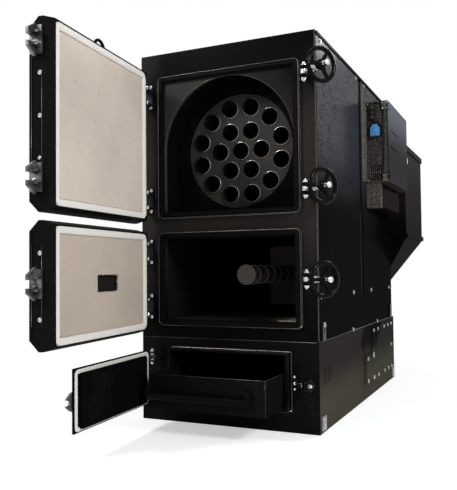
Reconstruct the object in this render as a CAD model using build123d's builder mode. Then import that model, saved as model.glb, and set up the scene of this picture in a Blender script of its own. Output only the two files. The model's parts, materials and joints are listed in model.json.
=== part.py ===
"""Coal boiler: a fire-tube boiler over an ash base, fed from a bin behind it."""
import os
from math import cos, radians, sin

from build123d import *

os.makedirs("parts", exist_ok=True)

# Driving dimensions in millimetres. The body faces -Y and stands on z = 0.
body_w = 880
body_d = 1600
body_h = 1750
base_h = 392
base_tail = 50
mid_x = 15
front_t = 20
skin_t = 6
panel_t = 5
cover_lip = 5
cover_t = 12
door_open = 85
ash_open = 86
hinge_gap_x = 50
hinge_out = 82
door_t = 111
door_drop = 9
door_lap = 32
door_flare = 16
bevel = 40
open_w = 652
upper_open_h = 622
upper_open_drop = 457
opening_gap = 125
fire_sill = 85
frame_bar = 27
frame_out = 20
lip_w = 11
sheet_r = 275
sheet_back = 165
tube_r = 41
tube_wall = 5
tube_ring = 107
fire_d = 1380
feed_r = 42
feed_lift = 16
ash_w = 564
ash_z0 = 104
ash_h = 232
ash_out = 40
ash_t = 6
pan_w = 548
pan_h = 148
pan_l = 900
pan_out = 245
pan_wall = 3
clamp_gap = 35
clamp_out = 45
clamp_turn = 34
rod_r = 9
wheel_r = 79
wheel_at = 118
rim_r = 9.5
cab_w = 122
cab_d = 590
cab_y = 945
cab_drop = 110
cab_h = 455
bin_w = 1080
bin_d = 660
bin_gap = 10
bin_h = 600
bin_drop = 250
bin_t = 4
foot_w = 700
foot_d = 178
foot_under = 123
groove_back = 785
groove_w = 60
cover_rise = 66
cover_drop = 22
cover_gap = 45
riser_back = 965
riser_l = 165
riser_z = 90
riser_h = 146

# Places worked out from the driving dimensions, and clearances
base_d = body_d + base_tail
front = -base_d / 2
rear = front + body_d
base_rear = base_d / 2
half = body_w / 2
upper_open_z = body_h - upper_open_drop
fire_z0 = base_h + fire_sill
fire_z1 = upper_open_z - upper_open_h / 2 - opening_gap
fire_open_h = fire_z1 - fire_z0
fire_open_z = (fire_z0 + fire_z1) / 2
feed_z = fire_open_z + feed_lift
foot_z = feed_z - foot_under
ash_z1 = ash_z0 + ash_h
seat = 0.3
joint_gap = 2


def block(x0, x1, y0, y1, z0, z1, mode=Mode.ADD):
    """A box between two corners of the working plane."""
    with Locations(((x0 + x1) / 2, (y0 + y1) / 2, (z0 + z1) / 2)):
        Box(x1 - x0, y1 - y0, z1 - z0, mode=mode)


def post(x, y, z0, z1, r, mode=Mode.ADD):
    """An upright cylinder."""
    with Locations((x, y, (z0 + z1) / 2)):
        Cylinder(r, z1 - z0, mode=mode)


def along_y(x, y0, y1, z, r, mode=Mode.ADD):
    """A cylinder lying front to back."""
    with Locations((x, (y0 + y1) / 2, z)):
        Cylinder(r, y1 - y0, rotation=(90, 0, 0), mode=mode)


def along_x(x0, x1, y, z, r, mode=Mode.ADD):
    """A cylinder lying left to right."""
    with Locations(((x0 + x1) / 2, y, z)):
        Cylinder(r, x1 - x0, rotation=(0, 90, 0), mode=mode)


def wall_plane(y):
    """A sketch plane facing the front, with sketch x along X and sketch y along Z."""
    return Plane.XZ.offset(-y)


def arch(w, z0, zc):
    """A sketch outline with a flat foot at z0 and a half-round head about zc."""
    with Locations((mid_x, zc)):
        Circle(w / 2)
        Rectangle(w, w, align=(Align.CENTER, Align.MAX), mode=Mode.SUBTRACT)
        Rectangle(w, zc - z0, align=(Align.CENTER, Align.MAX))


# Front plate with the arched smoke opening and the square fire opening
arch_r = open_w / 2
arch_z0 = upper_open_z - upper_open_h / 2
arch_zc = upper_open_z + upper_open_h / 2 - arch_r
with BuildPart() as front_plate:
    with BuildSketch(wall_plane(front)):
        with Locations((0, (body_h + base_h) / 2)):
            Rectangle(body_w, body_h - base_h)
    extrude(amount=-front_t)
    with BuildSketch(wall_plane(front)):
        arch(open_w, arch_z0, arch_zc)
        with Locations((mid_x, fire_open_z)):
            Rectangle(open_w, fire_open_h)
    extrude(amount=-front_t, mode=Mode.SUBTRACT)
front_plate.part.label = "front_plate"
export_step(front_plate.part, "parts/front_plate.step")

# Raised frames the doors close on, each with a sealing ridge
with BuildPart() as upper_frame:
    with BuildSketch(wall_plane(front)):
        with Locations((mid_x, upper_open_z)):
            RectangleRounded(open_w + 2 * frame_bar, upper_open_h + 2 * frame_bar, frame_bar - 3)
            Rectangle(open_w, upper_open_h, mode=Mode.SUBTRACT)
    extrude(amount=frame_out * 0.6)
    with BuildSketch(wall_plane(front)):
        with Locations((mid_x, upper_open_z)):
            RectangleRounded(open_w + 1.5 * frame_bar, upper_open_h + 1.5 * frame_bar, 14)
            RectangleRounded(open_w + 0.5 * frame_bar, upper_open_h + 0.5 * frame_bar, 6, mode=Mode.SUBTRACT)
    extrude(amount=frame_out)
upper_frame.part.label = "upper_frame"
export_step(upper_frame.part, "parts/upper_frame.step")

with BuildPart() as furnace_frame:
    with BuildSketch(wall_plane(front)):
        with Locations((mid_x, fire_open_z)):
            RectangleRounded(open_w + 2 * frame_bar, fire_open_h + 2 * frame_bar, frame_bar - 3)
            Rectangle(open_w, fire_open_h, mode=Mode.SUBTRACT)
    extrude(amount=frame_out * 0.6)
    with BuildSketch(wall_plane(front)):
        with Locations((mid_x, fire_open_z)):
            RectangleRounded(open_w + 1.5 * frame_bar, fire_open_h + 1.5 * frame_bar, 14)
            RectangleRounded(open_w + 0.5 * frame_bar, fire_open_h + 0.5 * frame_bar, 6, mode=Mode.SUBTRACT)
    extrude(amount=frame_out)
furnace_frame.part.label = "furnace_frame"
export_step(furnace_frame.part, "parts/furnace_frame.step")

# Smoke box behind the arched opening, its rear wall open in a round neck
box_y0 = front + front_t
sheet_y = front + sheet_back
neck_y = sheet_y - 35
liner_t = 8
with BuildPart() as smoke_box:
    with BuildSketch(wall_plane(box_y0)):
        arch(open_w + 2 * liner_t, arch_z0 - liner_t, arch_zc)
    extrude(amount=-(neck_y + liner_t - box_y0))
    with BuildSketch(wall_plane(box_y0)):
        arch(open_w, arch_z0, arch_zc)
    extrude(amount=-(neck_y - box_y0), mode=Mode.SUBTRACT)
    along_y(mid_x, neck_y + liner_t, sheet_y, arch_zc, sheet_r + liner_t)
    along_y(mid_x, neck_y - 1, sheet_y, arch_zc, sheet_r, Mode.SUBTRACT)
    with BuildSketch(wall_plane(neck_y)):
        with Locations((mid_x + sheet_r * 0.28, arch_zc + (sheet_r + arch_r) / 2 - 5)):
            RectangleRounded(32, arch_r - sheet_r - 14, 8)
    extrude(amount=14)
smoke_box.part.label = "smoke_box"
export_step(smoke_box.part, "parts/smoke_box.step")

# Tube sheets and the bundle of fire tubes
sheet_t = 16
tube_end = sheet_y + fire_d - 110
with BuildPart() as tube_sheets:
    along_y(mid_x, sheet_y, sheet_y + sheet_t, arch_zc, sheet_r + liner_t)
    along_y(mid_x, tube_end, tube_end + sheet_t, arch_zc, sheet_r + liner_t)
    with Locations((mid_x, (sheet_y + tube_end + sheet_t) / 2, arch_zc)):
        with Locations(Rotation(90, 0, 0)):
            Cylinder(tube_r + 0.25, tube_end + 3 * sheet_t - sheet_y, mode=Mode.SUBTRACT)
            with PolarLocations(tube_ring, 6, start_angle=0):
                Cylinder(tube_r + 0.25, tube_end + 3 * sheet_t - sheet_y, mode=Mode.SUBTRACT)
            with PolarLocations(2 * tube_ring, 12, start_angle=15):
                Cylinder(tube_r + 0.25, tube_end + 3 * sheet_t - sheet_y, mode=Mode.SUBTRACT)
tube_sheets.part.label = "tube_sheets"
export_step(tube_sheets.part, "parts/tube_sheets.step")

tube_len = tube_end + sheet_t - sheet_y + 16
with BuildPart() as fire_tubes:
    with Locations((mid_x, (sheet_y + tube_end + sheet_t) / 2, arch_zc)):
        with Locations(Rotation(90, 0, 0)):
            Cylinder(tube_r, tube_len)
            with PolarLocations(tube_ring, 6, start_angle=0):
                Cylinder(tube_r, tube_len)
            with PolarLocations(2 * tube_ring, 12, start_angle=15):
                Cylinder(tube_r, tube_len)
            Cylinder(tube_r - tube_wall, tube_len, mode=Mode.SUBTRACT)
            with PolarLocations(tube_ring, 6, start_angle=0):
                Cylinder(tube_r - tube_wall, tube_len, mode=Mode.SUBTRACT)
            with PolarLocations(2 * tube_ring, 12, start_angle=15):
                Cylinder(tube_r - tube_wall, tube_len, mode=Mode.SUBTRACT)
fire_tubes.part.label = "fire_tubes"
export_step(fire_tubes.part, "parts/fire_tubes.step")

# Firebox walls around the grate
fire_wall = 12
fx0 = mid_x - open_w / 2
fx1 = mid_x + open_w / 2
fire_rear = box_y0 + fire_d
with BuildPart() as firebox:
    block(fx0 - fire_wall, fx1 + fire_wall, box_y0, fire_rear + fire_wall, base_h, fire_z1 + fire_wall)
    block(fx0, fx1, box_y0 - 1, fire_rear, base_h - 1, fire_z1, Mode.SUBTRACT)
    along_y(mid_x, fire_rear - 1, fire_rear + fire_wall + 1, feed_z, feed_r + seat, Mode.SUBTRACT)
firebox.part.label = "firebox"
export_step(firebox.part, "parts/firebox.step")

# Perforated grate on two ledges
grate_t = 14
grate_z = fire_z0 - 2
grate_rows = 4
grate_cols = 14
hole_gap = (open_w - 40) / grate_cols
with BuildPart() as grate:
    block(fx0 + seat, fx1 - seat, box_y0 + 2, fire_rear - 2, grate_z - grate_t, grate_z)
    with Locations((mid_x, box_y0 + 30 + grate_rows * hole_gap / 2, grate_z - grate_t / 2)):
        with GridLocations(hole_gap, hole_gap, grate_cols, grate_rows):
            Cylinder(8, grate_t, mode=Mode.SUBTRACT)
    block(fx0 + seat, fx0 + 21, box_y0 + 2, fire_rear - 2, base_h + 1, grate_z - grate_t)
    block(fx1 - 21, fx1 - seat, box_y0 + 2, fire_rear - 2, base_h + 1, grate_z - grate_t)
grate.part.label = "grate"
export_step(grate.part, "parts/grate.step")

# Ribbed feed pipe that brings fuel in through the rear walls
rib_pitch = 100
rib_count = 7
pipe_y0 = front + 220
drive_y = rear + bin_gap + foot_d + 300
with BuildPart() as feed_pipe:
    along_y(mid_x, pipe_y0, drive_y, feed_z, feed_r)
    along_y(mid_x, pipe_y0 - 8, pipe_y0, feed_z, feed_r + 7)
    for i in range(rib_count):
        along_y(mid_x, pipe_y0 + (i + 0.7) * rib_pitch, pipe_y0 + (i + 0.7) * rib_pitch + 10, feed_z, feed_r + 7)
feed_pipe.part.label = "feed_pipe"
export_step(feed_pipe.part, "parts/feed_pipe.step")

# Casing: side skins, rear wall and the top cover with its overhanging lip
flue_y = rear - 160
flue_r = 100
skin_x = half - panel_t
flow_y = front + 700
return_y = rear - 220
return_z = base_h + 208
flange_pipe = 38
with BuildPart() as casing:
    block(-skin_x, skin_x, box_y0, rear, base_h, body_h - skin_t)
    block(-skin_x + skin_t, skin_x - skin_t, box_y0 - 1, rear - skin_t, base_h - 1, body_h + 1, Mode.SUBTRACT)
    block(-half - cover_lip, half + cover_lip, box_y0, rear, body_h - cover_t, body_h)
    block(-half, half, box_y0 - 1, rear - skin_t, body_h - cover_t - 1, body_h - skin_t, Mode.SUBTRACT)
    along_y(mid_x, rear - skin_t - 1, rear + 1, feed_z, feed_r + seat, Mode.SUBTRACT)
    post(mid_x, flue_y, body_h - skin_t - 1, body_h + 1, flue_r - 4, Mode.SUBTRACT)
    post(mid_x, flow_y, body_h - skin_t - 1, body_h + 1, flange_pipe - 4, Mode.SUBTRACT)
    along_x(-half - 1, -skin_x + skin_t + 1, return_y, return_z, flange_pipe - 4, Mode.SUBTRACT)
casing.part.label = "casing"
export_step(casing.part, "parts/casing.step")

# Screwed side panels with a dark groove between them, and the plain band below
groove_y = front + groove_back
band_z = base_h + 181
panel_top = body_h - cover_t - joint_gap
edge_r = 3
with BuildPart() as side_panels:
    for s in (-1, 1):
        xa = min(s * skin_x, s * half)
        xb = max(s * skin_x, s * half)
        block(xa, xb, box_y0, groove_y, band_z + joint_gap, panel_top)
        block(xa, xb, groove_y + groove_w, rear, band_z + joint_gap, panel_top)
        block(xa, xb, box_y0, rear, base_h, band_z)
    chamfer(side_panels.edges().filter_by(Axis.Z).group_by(Axis.X)[0], edge_r)
    chamfer(side_panels.edges().filter_by(Axis.Z).group_by(Axis.X)[-1], edge_r)
    along_x(-half - 1, -skin_x + 1, return_y, return_z, flange_pipe + 4, Mode.SUBTRACT)
side_panels.part.label = "side_panels"
export_step(side_panels.part, "parts/side_panels.step")

# Base: front plate with the ash opening, box of walls and floor
ash_x0 = mid_x - ash_w / 2
ash_x1 = mid_x + ash_w / 2
with BuildPart() as base_front:
    block(-half, half, front, front + skin_t, 0, base_h)
    block(ash_x0 - ash_t, ash_x1 + ash_t, front - 1, front + skin_t + 1, ash_z0 - ash_t, ash_z1 + ash_t, Mode.SUBTRACT)
base_front.part.label = "base_front"
export_step(base_front.part, "parts/base_front.step")

vent_y = front + 122
vent_z = base_h * 0.61
vent_h = 84
vent_w = 12
vent_pitch = 34
with BuildPart() as base_box:
    block(-half, half, front + skin_t, base_rear, 0, base_h)
    block(-half + skin_t, half - skin_t, front, base_rear - skin_t, skin_t, base_h + 1, Mode.SUBTRACT)
    block(-half, half, rear, base_rear, base_h - skin_t, base_h)
    with BuildSketch(Plane.YZ.offset(half - skin_t - 1)):
        with Locations((vent_y, vent_z)):
            with GridLocations(vent_pitch, vent_h, 4, 1):
                SlotOverall(vent_h, vent_w, rotation=90)
    extrude(amount=skin_t + 2, mode=Mode.SUBTRACT)
base_box.part.label = "base_box"
export_step(base_box.part, "parts/base_box.step")

# Square collar around the ash opening
with BuildPart() as ash_collar:
    block(ash_x0 - ash_t, ash_x1 + ash_t, front - ash_out, front + 30, ash_z0 - ash_t, ash_z1 + ash_t)
    block(
        ash_x0 - ash_t - lip_w / 2, ash_x1 + ash_t + lip_w, front - ash_out, front - ash_out + ash_t,
        ash_z0 - ash_t - lip_w / 2, ash_z1 + ash_t + lip_w / 2,
    )
    block(ash_x0, ash_x1, front - ash_out - 1, front + 31, ash_z0, ash_z1, Mode.SUBTRACT)
ash_collar.part.label = "ash_collar"
export_step(ash_collar.part, "parts/ash_collar.step")

# Ash bay under the grate, with two runners for the pan
bay_y0 = front + 30
bay_y1 = front + 30 + pan_l + 260
pan_z0 = ash_z0 + 6
with BuildPart() as ash_bay:
    block(ash_x0 - ash_t, ash_x1 + ash_t, bay_y0, bay_y1 + ash_t, ash_z0 - ash_t, base_h)
    block(ash_x0, ash_x1, bay_y0 - 1, bay_y1, ash_z0, base_h + 1, Mode.SUBTRACT)
    block(ash_x0 + 20, ash_x0 + 50, front - ash_out + 10, bay_y1, ash_z0, pan_z0 - 0.4)
    block(ash_x1 - 50, ash_x1 - 20, front - ash_out + 10, bay_y1, ash_z0, pan_z0 - 0.4)
    block(-half + 40, -half + 80, bay_y0 + 60, bay_y1 - 60, skin_t, ash_z0 - ash_t)
    block(half - 80, half - 40, bay_y0 + 60, bay_y1 - 60, skin_t, ash_z0 - ash_t)
    block(-half + 40, half - 40, bay_y0 + 60, bay_y1 - 60, ash_z0 - 2 * ash_t, ash_z0 - ash_t)
ash_bay.part.label = "ash_bay"
export_step(ash_bay.part, "parts/ash_bay.step")

# Ash pan, an open box with a trough handle across its front
pan_x0 = mid_x - pan_w / 2
pan_x1 = mid_x + pan_w / 2
pan_y0 = front - pan_out
pan_z1 = pan_z0 + pan_h
grip_z = pan_z0 + pan_h / 2
grip_r = 40
grip_w = pan_w - 77
grip_x = pan_x0 + 8
with BuildPart() as ash_pan:
    block(pan_x0, pan_x1, pan_y0, pan_y0 + pan_l, pan_z0, pan_z1)
    block(
        pan_x0 + pan_wall, pan_x1 - pan_wall, pan_y0 + pan_wall, pan_y0 + pan_l - pan_wall,
        pan_z0 + pan_wall, pan_z1 + 1, Mode.SUBTRACT,
    )
    with BuildSketch(Plane.YZ.offset(grip_x)):
        with Locations((pan_y0, grip_z)):
            Circle(grip_r)
            Circle(grip_r - 3, mode=Mode.SUBTRACT)
            Rectangle(grip_r + 2, 4 * grip_r, align=(Align.MIN, Align.CENTER), mode=Mode.SUBTRACT)
            Rectangle(4 * grip_r, grip_r + 2, align=(Align.CENTER, Align.MIN), mode=Mode.SUBTRACT)
    extrude(amount=grip_w)
    for xe in (grip_x, grip_x + grip_w - 3):
        with BuildSketch(Plane.YZ.offset(xe)):
            with Locations((pan_y0, grip_z)):
                Circle(grip_r)
                Rectangle(grip_r + 2, 4 * grip_r, align=(Align.MIN, Align.CENTER), mode=Mode.SUBTRACT)
        extrude(amount=3)
ash_pan.part.label = "ash_pan"
export_step(ash_pan.part, "parts/ash_pan.step")

# Hinge lugs of the three doors on the front, each with its pin
door_hw = open_w / 2 + frame_bar + 11
hinge_x = mid_x - door_hw - hinge_gap_x
hinge_y = front - hinge_out
ash_hinge_x = ash_x0 - 83
ash_hinge_y = front - 60
ear_t = 12
ear_gap = 56
lug_r = 15
pin_r = 8
hinge_inset = 60
upper_hinge_z = (upper_open_z + upper_open_h / 2 - hinge_inset, upper_open_z - upper_open_h / 2 + hinge_inset)
fire_hinge_z = (fire_open_z + fire_open_h / 2 - hinge_inset, fire_open_z - fire_open_h / 2 + hinge_inset)
ash_hinge_z = (ash_z1 - 30, ash_z0 + 40)
with BuildPart() as hinge_lugs:
    for z in upper_hinge_z + fire_hinge_z:
        for zz in (z - ear_gap / 2 - ear_t, z + ear_gap / 2):
            block(hinge_x - lug_r, hinge_x + lug_r, hinge_y, front, zz, zz + ear_t)
            post(hinge_x, hinge_y, zz, zz + ear_t, lug_r)
        post(hinge_x, hinge_y, z - ear_gap / 2 - ear_t - 9, z + ear_gap / 2 + ear_t + 9, pin_r)
        block(hinge_x - lug_r - 10, hinge_x + lug_r + 10, front - 8, front, z - 60, z + 60)
    for z in ash_hinge_z:
        for zz in (z - 15 - 10, z + 15):
            block(ash_hinge_x - 12, ash_hinge_x + 12, ash_hinge_y, front, zz, zz + 10)
            post(ash_hinge_x, ash_hinge_y, zz, zz + 10, 12)
        post(ash_hinge_x, ash_hinge_y, z - 34, z + 34, 6)
hinge_lugs.part.label = "hinge_lugs"
export_step(hinge_lugs.part, "parts/hinge_lugs.step")

# Upper and furnace doors, drawn shut on their hinge line and then turned open
arm_h = ear_gap - 12
rim_y = hinge_out - frame_out - 1
face_y = rim_y - door_t
near_x = hinge_gap_x
far_x = hinge_gap_x + 2 * door_hw
shell_t = 6
turn_y = rim_y - 52
rope_w = 35
rope_y = rim_y - 26
clamp_x = open_w / 2 + frame_bar + clamp_gap
clamp_at = mid_x + clamp_x - hinge_x
hook_y = face_y + 22
hook_t = 12
hook_out = 52
hook_h = 122
mouth_w = 2 * rod_r + 12
pocket_t = 3
upper_clamp_z = (upper_open_z + 262, upper_open_z - 242)
fire_clamp_z = fire_open_z - 2


def hung(x, y, turn):
    """The place of a piece drawn shut about a hinge at the origin, turned open."""
    return Location((x, y, 0), (0, 0, -turn))


def put(shape, name, place):
    """Set a piece in its place, name it and write it out."""
    done = place * shape
    done.label = name
    export_step(done, "parts/" + name + ".step")


def door_section(z0, z1, t):
    """The door's outline in its Y-Z plane, set in by t and running out past the rim."""
    return Polyline(
        (rim_y + (t > 0), z0 + t), (turn_y, z0 - door_flare + t), (face_y + bevel, z0 - door_flare + t),
        (face_y + t, z0 - door_flare + bevel), (face_y + t, z1 + door_flare - bevel),
        (face_y + bevel, z1 + door_flare - t), (turn_y, z1 + door_flare - t), (rim_y + (t > 0), z1 - t),
        close=True,
    )


def lining_window(z0, z1, more):
    """The lining face inside the rope, wider by the given amount."""
    with Locations(((near_x + far_x) / 2, (z0 + z1) / 2)):
        RectangleRounded(far_x - near_x - 2 * rope_w + 2 * more, z1 - z0 - 2 * rope_w + 2 * more, 14)


def door_arm(z):
    """A hinge arm from the shell's near wall to an eye on the hinge line."""
    post(0, 0, z - arm_h / 2, z + arm_h / 2, lug_r)
    block(0, near_x - seat, -lug_r, lug_r - 4, z - arm_h / 2, z + arm_h / 2)
    post(0, 0, z - arm_h / 2 - 1, z + arm_h / 2 + 1, pin_r + 0.4, Mode.SUBTRACT)


def hook_rib(z):
    """A web that stiffens one claw of a catch against its base."""
    block(far_x + 8, far_x + 30, hook_y - 16, hook_y + hook_t + 24, z - 4, z + 4)


door_place = hung(hinge_x, hinge_y, door_open)
doors = (
    ("upper_door", upper_open_z, upper_open_h, upper_clamp_z, upper_hinge_z),
    ("furnace_door", fire_open_z, fire_open_h, (fire_clamp_z,), fire_hinge_z),
)
for door, open_z, open_h, clamps, hinges in doors:
    z0 = open_z - door_drop - open_h / 2 - door_lap
    z1 = open_z - door_drop + open_h / 2 + door_lap
    stops = sorted([z0 + 24] + [z + k * (hook_h / 2 + 8) for z in clamps for k in (-1, 1)] + [z1 - 24])
    with BuildPart() as door_shell:
        with BuildSketch(Plane.YZ.offset(near_x)):
            with BuildLine():
                door_section(z0, z1, 0)
            make_face()
        extrude(amount=far_x - near_x)
        with BuildSketch(Plane.YZ.offset(near_x + shell_t)):
            with BuildLine():
                door_section(z0, z1, shell_t)
            make_face()
        extrude(amount=far_x - near_x - 2 * shell_t, mode=Mode.SUBTRACT)
        with BuildSketch(Plane.YZ.offset(far_x)):
            for low, high in zip(stops[::2], stops[1::2]):
                if high - low > 40:
                    with Locations((face_y + 32, (low + high) / 2)):
                        RectangleRounded(44, high - low, 10)
        extrude(amount=-pocket_t, mode=Mode.SUBTRACT)
    put(door_shell.part, door + "_shell", door_place)

    with BuildPart() as door_lining:
        with BuildSketch(Plane.YZ.offset(near_x + shell_t + seat)):
            with BuildLine():
                door_section(z0, z1, shell_t + seat)
            make_face()
        extrude(amount=far_x - near_x - 2 * (shell_t + seat))
        block(near_x, far_x, rope_y, rim_y + 2, z0, z1, Mode.SUBTRACT)
        with BuildSketch(wall_plane(rope_y)):
            lining_window(z0, z1, 0)
        extrude(amount=-20)
        if open_h < open_w / 1.5:
            with BuildSketch(wall_plane(rope_y + 20)):
                with Locations((near_x + rope_w + 312, (z0 + z1) / 2)):
                    RectangleRounded(165, 72, 6)
            extrude(amount=20, mode=Mode.SUBTRACT)
    put(door_lining.part, door + "_lining", door_place)

    with BuildPart() as door_rope:
        with BuildSketch(wall_plane(rope_y + seat)):
            with Locations(((near_x + far_x) / 2, (z0 + z1) / 2)):
                RectangleRounded(far_x - near_x - 2 * shell_t - 2, z1 - z0 - 2 * shell_t - 2, 10)
            lining_window(z0, z1, 1)
        extrude(amount=-21)
        with BuildSketch(wall_plane(rope_y)):
            lining_window(z0, z1, 1)
        extrude(amount=-24, mode=Mode.SUBTRACT)
    put(door_rope.part, door + "_rope", door_place)

    with BuildPart() as door_irons:
        for z in clamps:
            with BuildSketch(wall_plane(hook_y)):
                with Locations((far_x, z)):
                    Polygon(
                        (seat, -hook_h / 2), (seat + 8, -hook_h / 2), (hook_out, -hook_h * 0.27),
                        (hook_out, hook_h * 0.27), (seat + 8, hook_h / 2), (seat, hook_h / 2), align=None,
                    )
                with Locations((clamp_at, z)):
                    Circle(mouth_w / 2, mode=Mode.SUBTRACT)
                    Rectangle(hook_out, mouth_w, align=(Align.MIN, Align.CENTER), mode=Mode.SUBTRACT)
            extrude(amount=-hook_t)
            block(far_x + seat, far_x + 8, hook_y - 16, hook_y + hook_t + 24, z - hook_h / 2 + 8, z + hook_h / 2 - 8)
            hook_rib(z - mouth_w / 2 - 8)
            hook_rib(z + mouth_w / 2 + 8)
        for z in hinges:
            door_arm(z)
        if open_h > open_w / 1.5:
            with BuildSketch(wall_plane(turn_y - 6)):
                with Locations(((near_x + far_x) / 2, z1 + door_flare + seat)):
                    Circle(40)
                    Circle(28, mode=Mode.SUBTRACT)
                    Rectangle(90, 90, align=(Align.CENTER, Align.MAX), mode=Mode.SUBTRACT)
            extrude(amount=12)
    put(door_irons.part, door + "_irons", door_place)

# Ash door: outer plate, inner box, sealing strip, catch and hinge arms
ash_place = hung(ash_hinge_x, ash_hinge_y, ash_open)
plate_y1 = 60 - ash_out - 8
plate_x0 = ash_x0 - ash_t - lip_w / 2 - ash_hinge_x - 4
plate_x1 = ash_x1 + ash_t + lip_w - ash_hinge_x + 2
ash_mid_z = (ash_z0 + ash_z1) / 2
ash_clamp_x = ash_x1 + ash_t + lip_w + 22
ash_fork_x = ash_clamp_x - ash_hinge_x
box_x0 = ash_x0 - ash_hinge_x + 38
box_x1 = ash_x1 - ash_hinge_x - 12
with BuildPart() as ash_plate:
    with BuildSketch(wall_plane(plate_y1)):
        with Locations(((plate_x0 + plate_x1) / 2, ash_mid_z + 2)):
            RectangleRounded(plate_x1 - plate_x0, ash_h + 12, 4)
    extrude(amount=6)
put(ash_plate.part, "ash_door_plate", ash_place)

with BuildPart() as ash_box:
    with BuildSketch(wall_plane(plate_y1 + seat)):
        with Locations(((box_x0 + box_x1) / 2, ash_mid_z)):
            RectangleRounded(box_x1 - box_x0, ash_h - 24, 6)
    extrude(amount=-26)
    chamfer(ash_box.faces().sort_by(Axis.Y)[-1].edges(), 5)
put(ash_box.part, "ash_door_box", ash_place)

with BuildPart() as ash_rope:
    with BuildSketch(wall_plane(plate_y1 + seat)):
        with Locations(((plate_x0 + plate_x1) / 2, ash_mid_z + 2)):
            RectangleRounded(plate_x1 - plate_x0 - 8, ash_h + 4, 8)
        with Locations(((box_x0 + box_x1) / 2, ash_mid_z)):
            RectangleRounded(box_x1 - box_x0 + 4, ash_h - 20, 6, mode=Mode.SUBTRACT)
        with Locations(((plate_x0 + plate_x1) / 2, ash_mid_z + 2)):
            RectangleRounded(plate_x1 - plate_x0 - 44, ash_h - 24, 6, mode=Mode.SUBTRACT)
    extrude(amount=-5.7)
put(ash_rope.part, "ash_door_rope", ash_place)

with BuildPart() as ash_irons:
    with BuildSketch(wall_plane(plate_y1 - 6 - seat)):
        with Locations((plate_x1, ash_mid_z)):
            Polygon((-30, -36), (0, -36), (32, -15), (32, 15), (0, 36), (-30, 36), align=None)
        with Locations((ash_fork_x, ash_mid_z)):
            Circle(10, mode=Mode.SUBTRACT)
            Polygon((0, -10), (40, -16), (40, 16), (0, 10), align=None, mode=Mode.SUBTRACT)
    extrude(amount=9)
    for z in ash_hinge_z:
        post(0, 0, z - 9, z + 9, 12)
        block(0, plate_x0 + 50, plate_y1 - 12, plate_y1 - 6 - seat, z - 9, z + 9)
        block(0, 14, plate_y1 - 12, 6, z - 9, z + 9)
        post(0, 0, z - 10, z + 10, 6.4, Mode.SUBTRACT)
put(ash_irons.part, "ash_door_irons", ash_place)

# Clamp lugs on the front for the swing bolts, with their pins
lug_x = mid_x + clamp_x
lug_gap = 2 * rod_r + 4
lug_w = 16
ash_pin_out = 25
with BuildPart() as clamp_lugs:
    for z in upper_clamp_z + (fire_clamp_z,):
        for zz in (z - lug_gap / 2 - 8, z + lug_gap / 2):
            block(lug_x - lug_w, lug_x + lug_w, front - clamp_out, front, zz, zz + 8)
            post(lug_x, front - clamp_out, zz, zz + 8, lug_w)
        post(lug_x, front - clamp_out, z - lug_gap / 2 - 16, z + lug_gap / 2 + 16, 7)
    for zz in (ash_mid_z - 10 - 6, ash_mid_z + 10):
        block(ash_clamp_x - 11, ash_clamp_x + 11, front - ash_pin_out, front, zz, zz + 6)
        post(ash_clamp_x, front - ash_pin_out, zz, zz + 6, 11)
    post(ash_clamp_x, front - ash_pin_out, ash_mid_z - 22, ash_mid_z + 22, 5)
clamp_lugs.part.label = "clamp_lugs"
export_step(clamp_lugs.part, "parts/clamp_lugs.step")


def swing_rod(r, length, pin):
    """An eye bolt along X with its eye on the pivot."""
    Cylinder(r + 6, 2 * r)
    along_x(0, length, 0, 0, r)
    Cylinder(pin + 0.4, 2 * r + 2, mode=Mode.SUBTRACT)


# Swing bolts and three-spoked wheels: a turned profile with three windows cut through its web
rod_len = wheel_at + 36
hub_r = 19
web_t = 8
rim_in = wheel_r - 2 * rim_r
for name, z in (("top", upper_clamp_z[0]), ("middle", upper_clamp_z[1]), ("furnace", fire_clamp_z)):
    place = hung(lug_x, front - clamp_out, clamp_turn) * Location((0, 0, z))
    with BuildPart() as clamp_rod:
        swing_rod(rod_r, rod_len, 7)
    put(clamp_rod.part, name + "_clamp_rod", place)
    with BuildPart() as handwheel:
        with BuildSketch(Plane.XZ):
            with Locations((wheel_at, wheel_r - rim_r)):
                RegularPolygon(rim_r, 8, rotation=22.5)
            with BuildLine():
                Polyline(
                    (wheel_at - 24, rod_r + 0.1), (wheel_at - 24, hub_r - 5), (wheel_at - 14, hub_r),
                    (wheel_at - 6, hub_r + 3), (wheel_at - web_t / 2, rim_in + 2), (wheel_at + web_t / 2, rim_in + 2),
                    (wheel_at + 2, hub_r + 3), (wheel_at + 8, hub_r - 2), (wheel_at + 10, rod_r + 0.1), close=True,
                )
            make_face()
        revolve(axis=Axis.X)
        with BuildSketch(Plane.YZ.offset(wheel_at - 20)):
            Circle(rim_in)
            Circle(hub_r + 6, mode=Mode.SUBTRACT)
            for turn in (90, 210, 330):
                with Locations(Location((0, 0, 0), (0, 0, turn))):
                    Polygon((0, -12), (wheel_r, -8), (wheel_r, 8), (0, 12), align=None, mode=Mode.SUBTRACT)
            fillet(vertices(), 4)
        extrude(amount=40, mode=Mode.SUBTRACT)
    put(handwheel.part, name + "_handwheel", place)

# Ash clamp: a lighter swing bolt with a five-lobed knob
knob_at = 92
knob_r = 24
ash_place = hung(ash_clamp_x, front - ash_pin_out, clamp_turn) * Location((0, 0, ash_mid_z))
with BuildPart() as ash_rod:
    swing_rod(6, knob_at + 22, 5)
    along_x(knob_at - 34, knob_at - 28, 0, 0, 14)
put(ash_rod.part, "ash_clamp_rod", ash_place)

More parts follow.
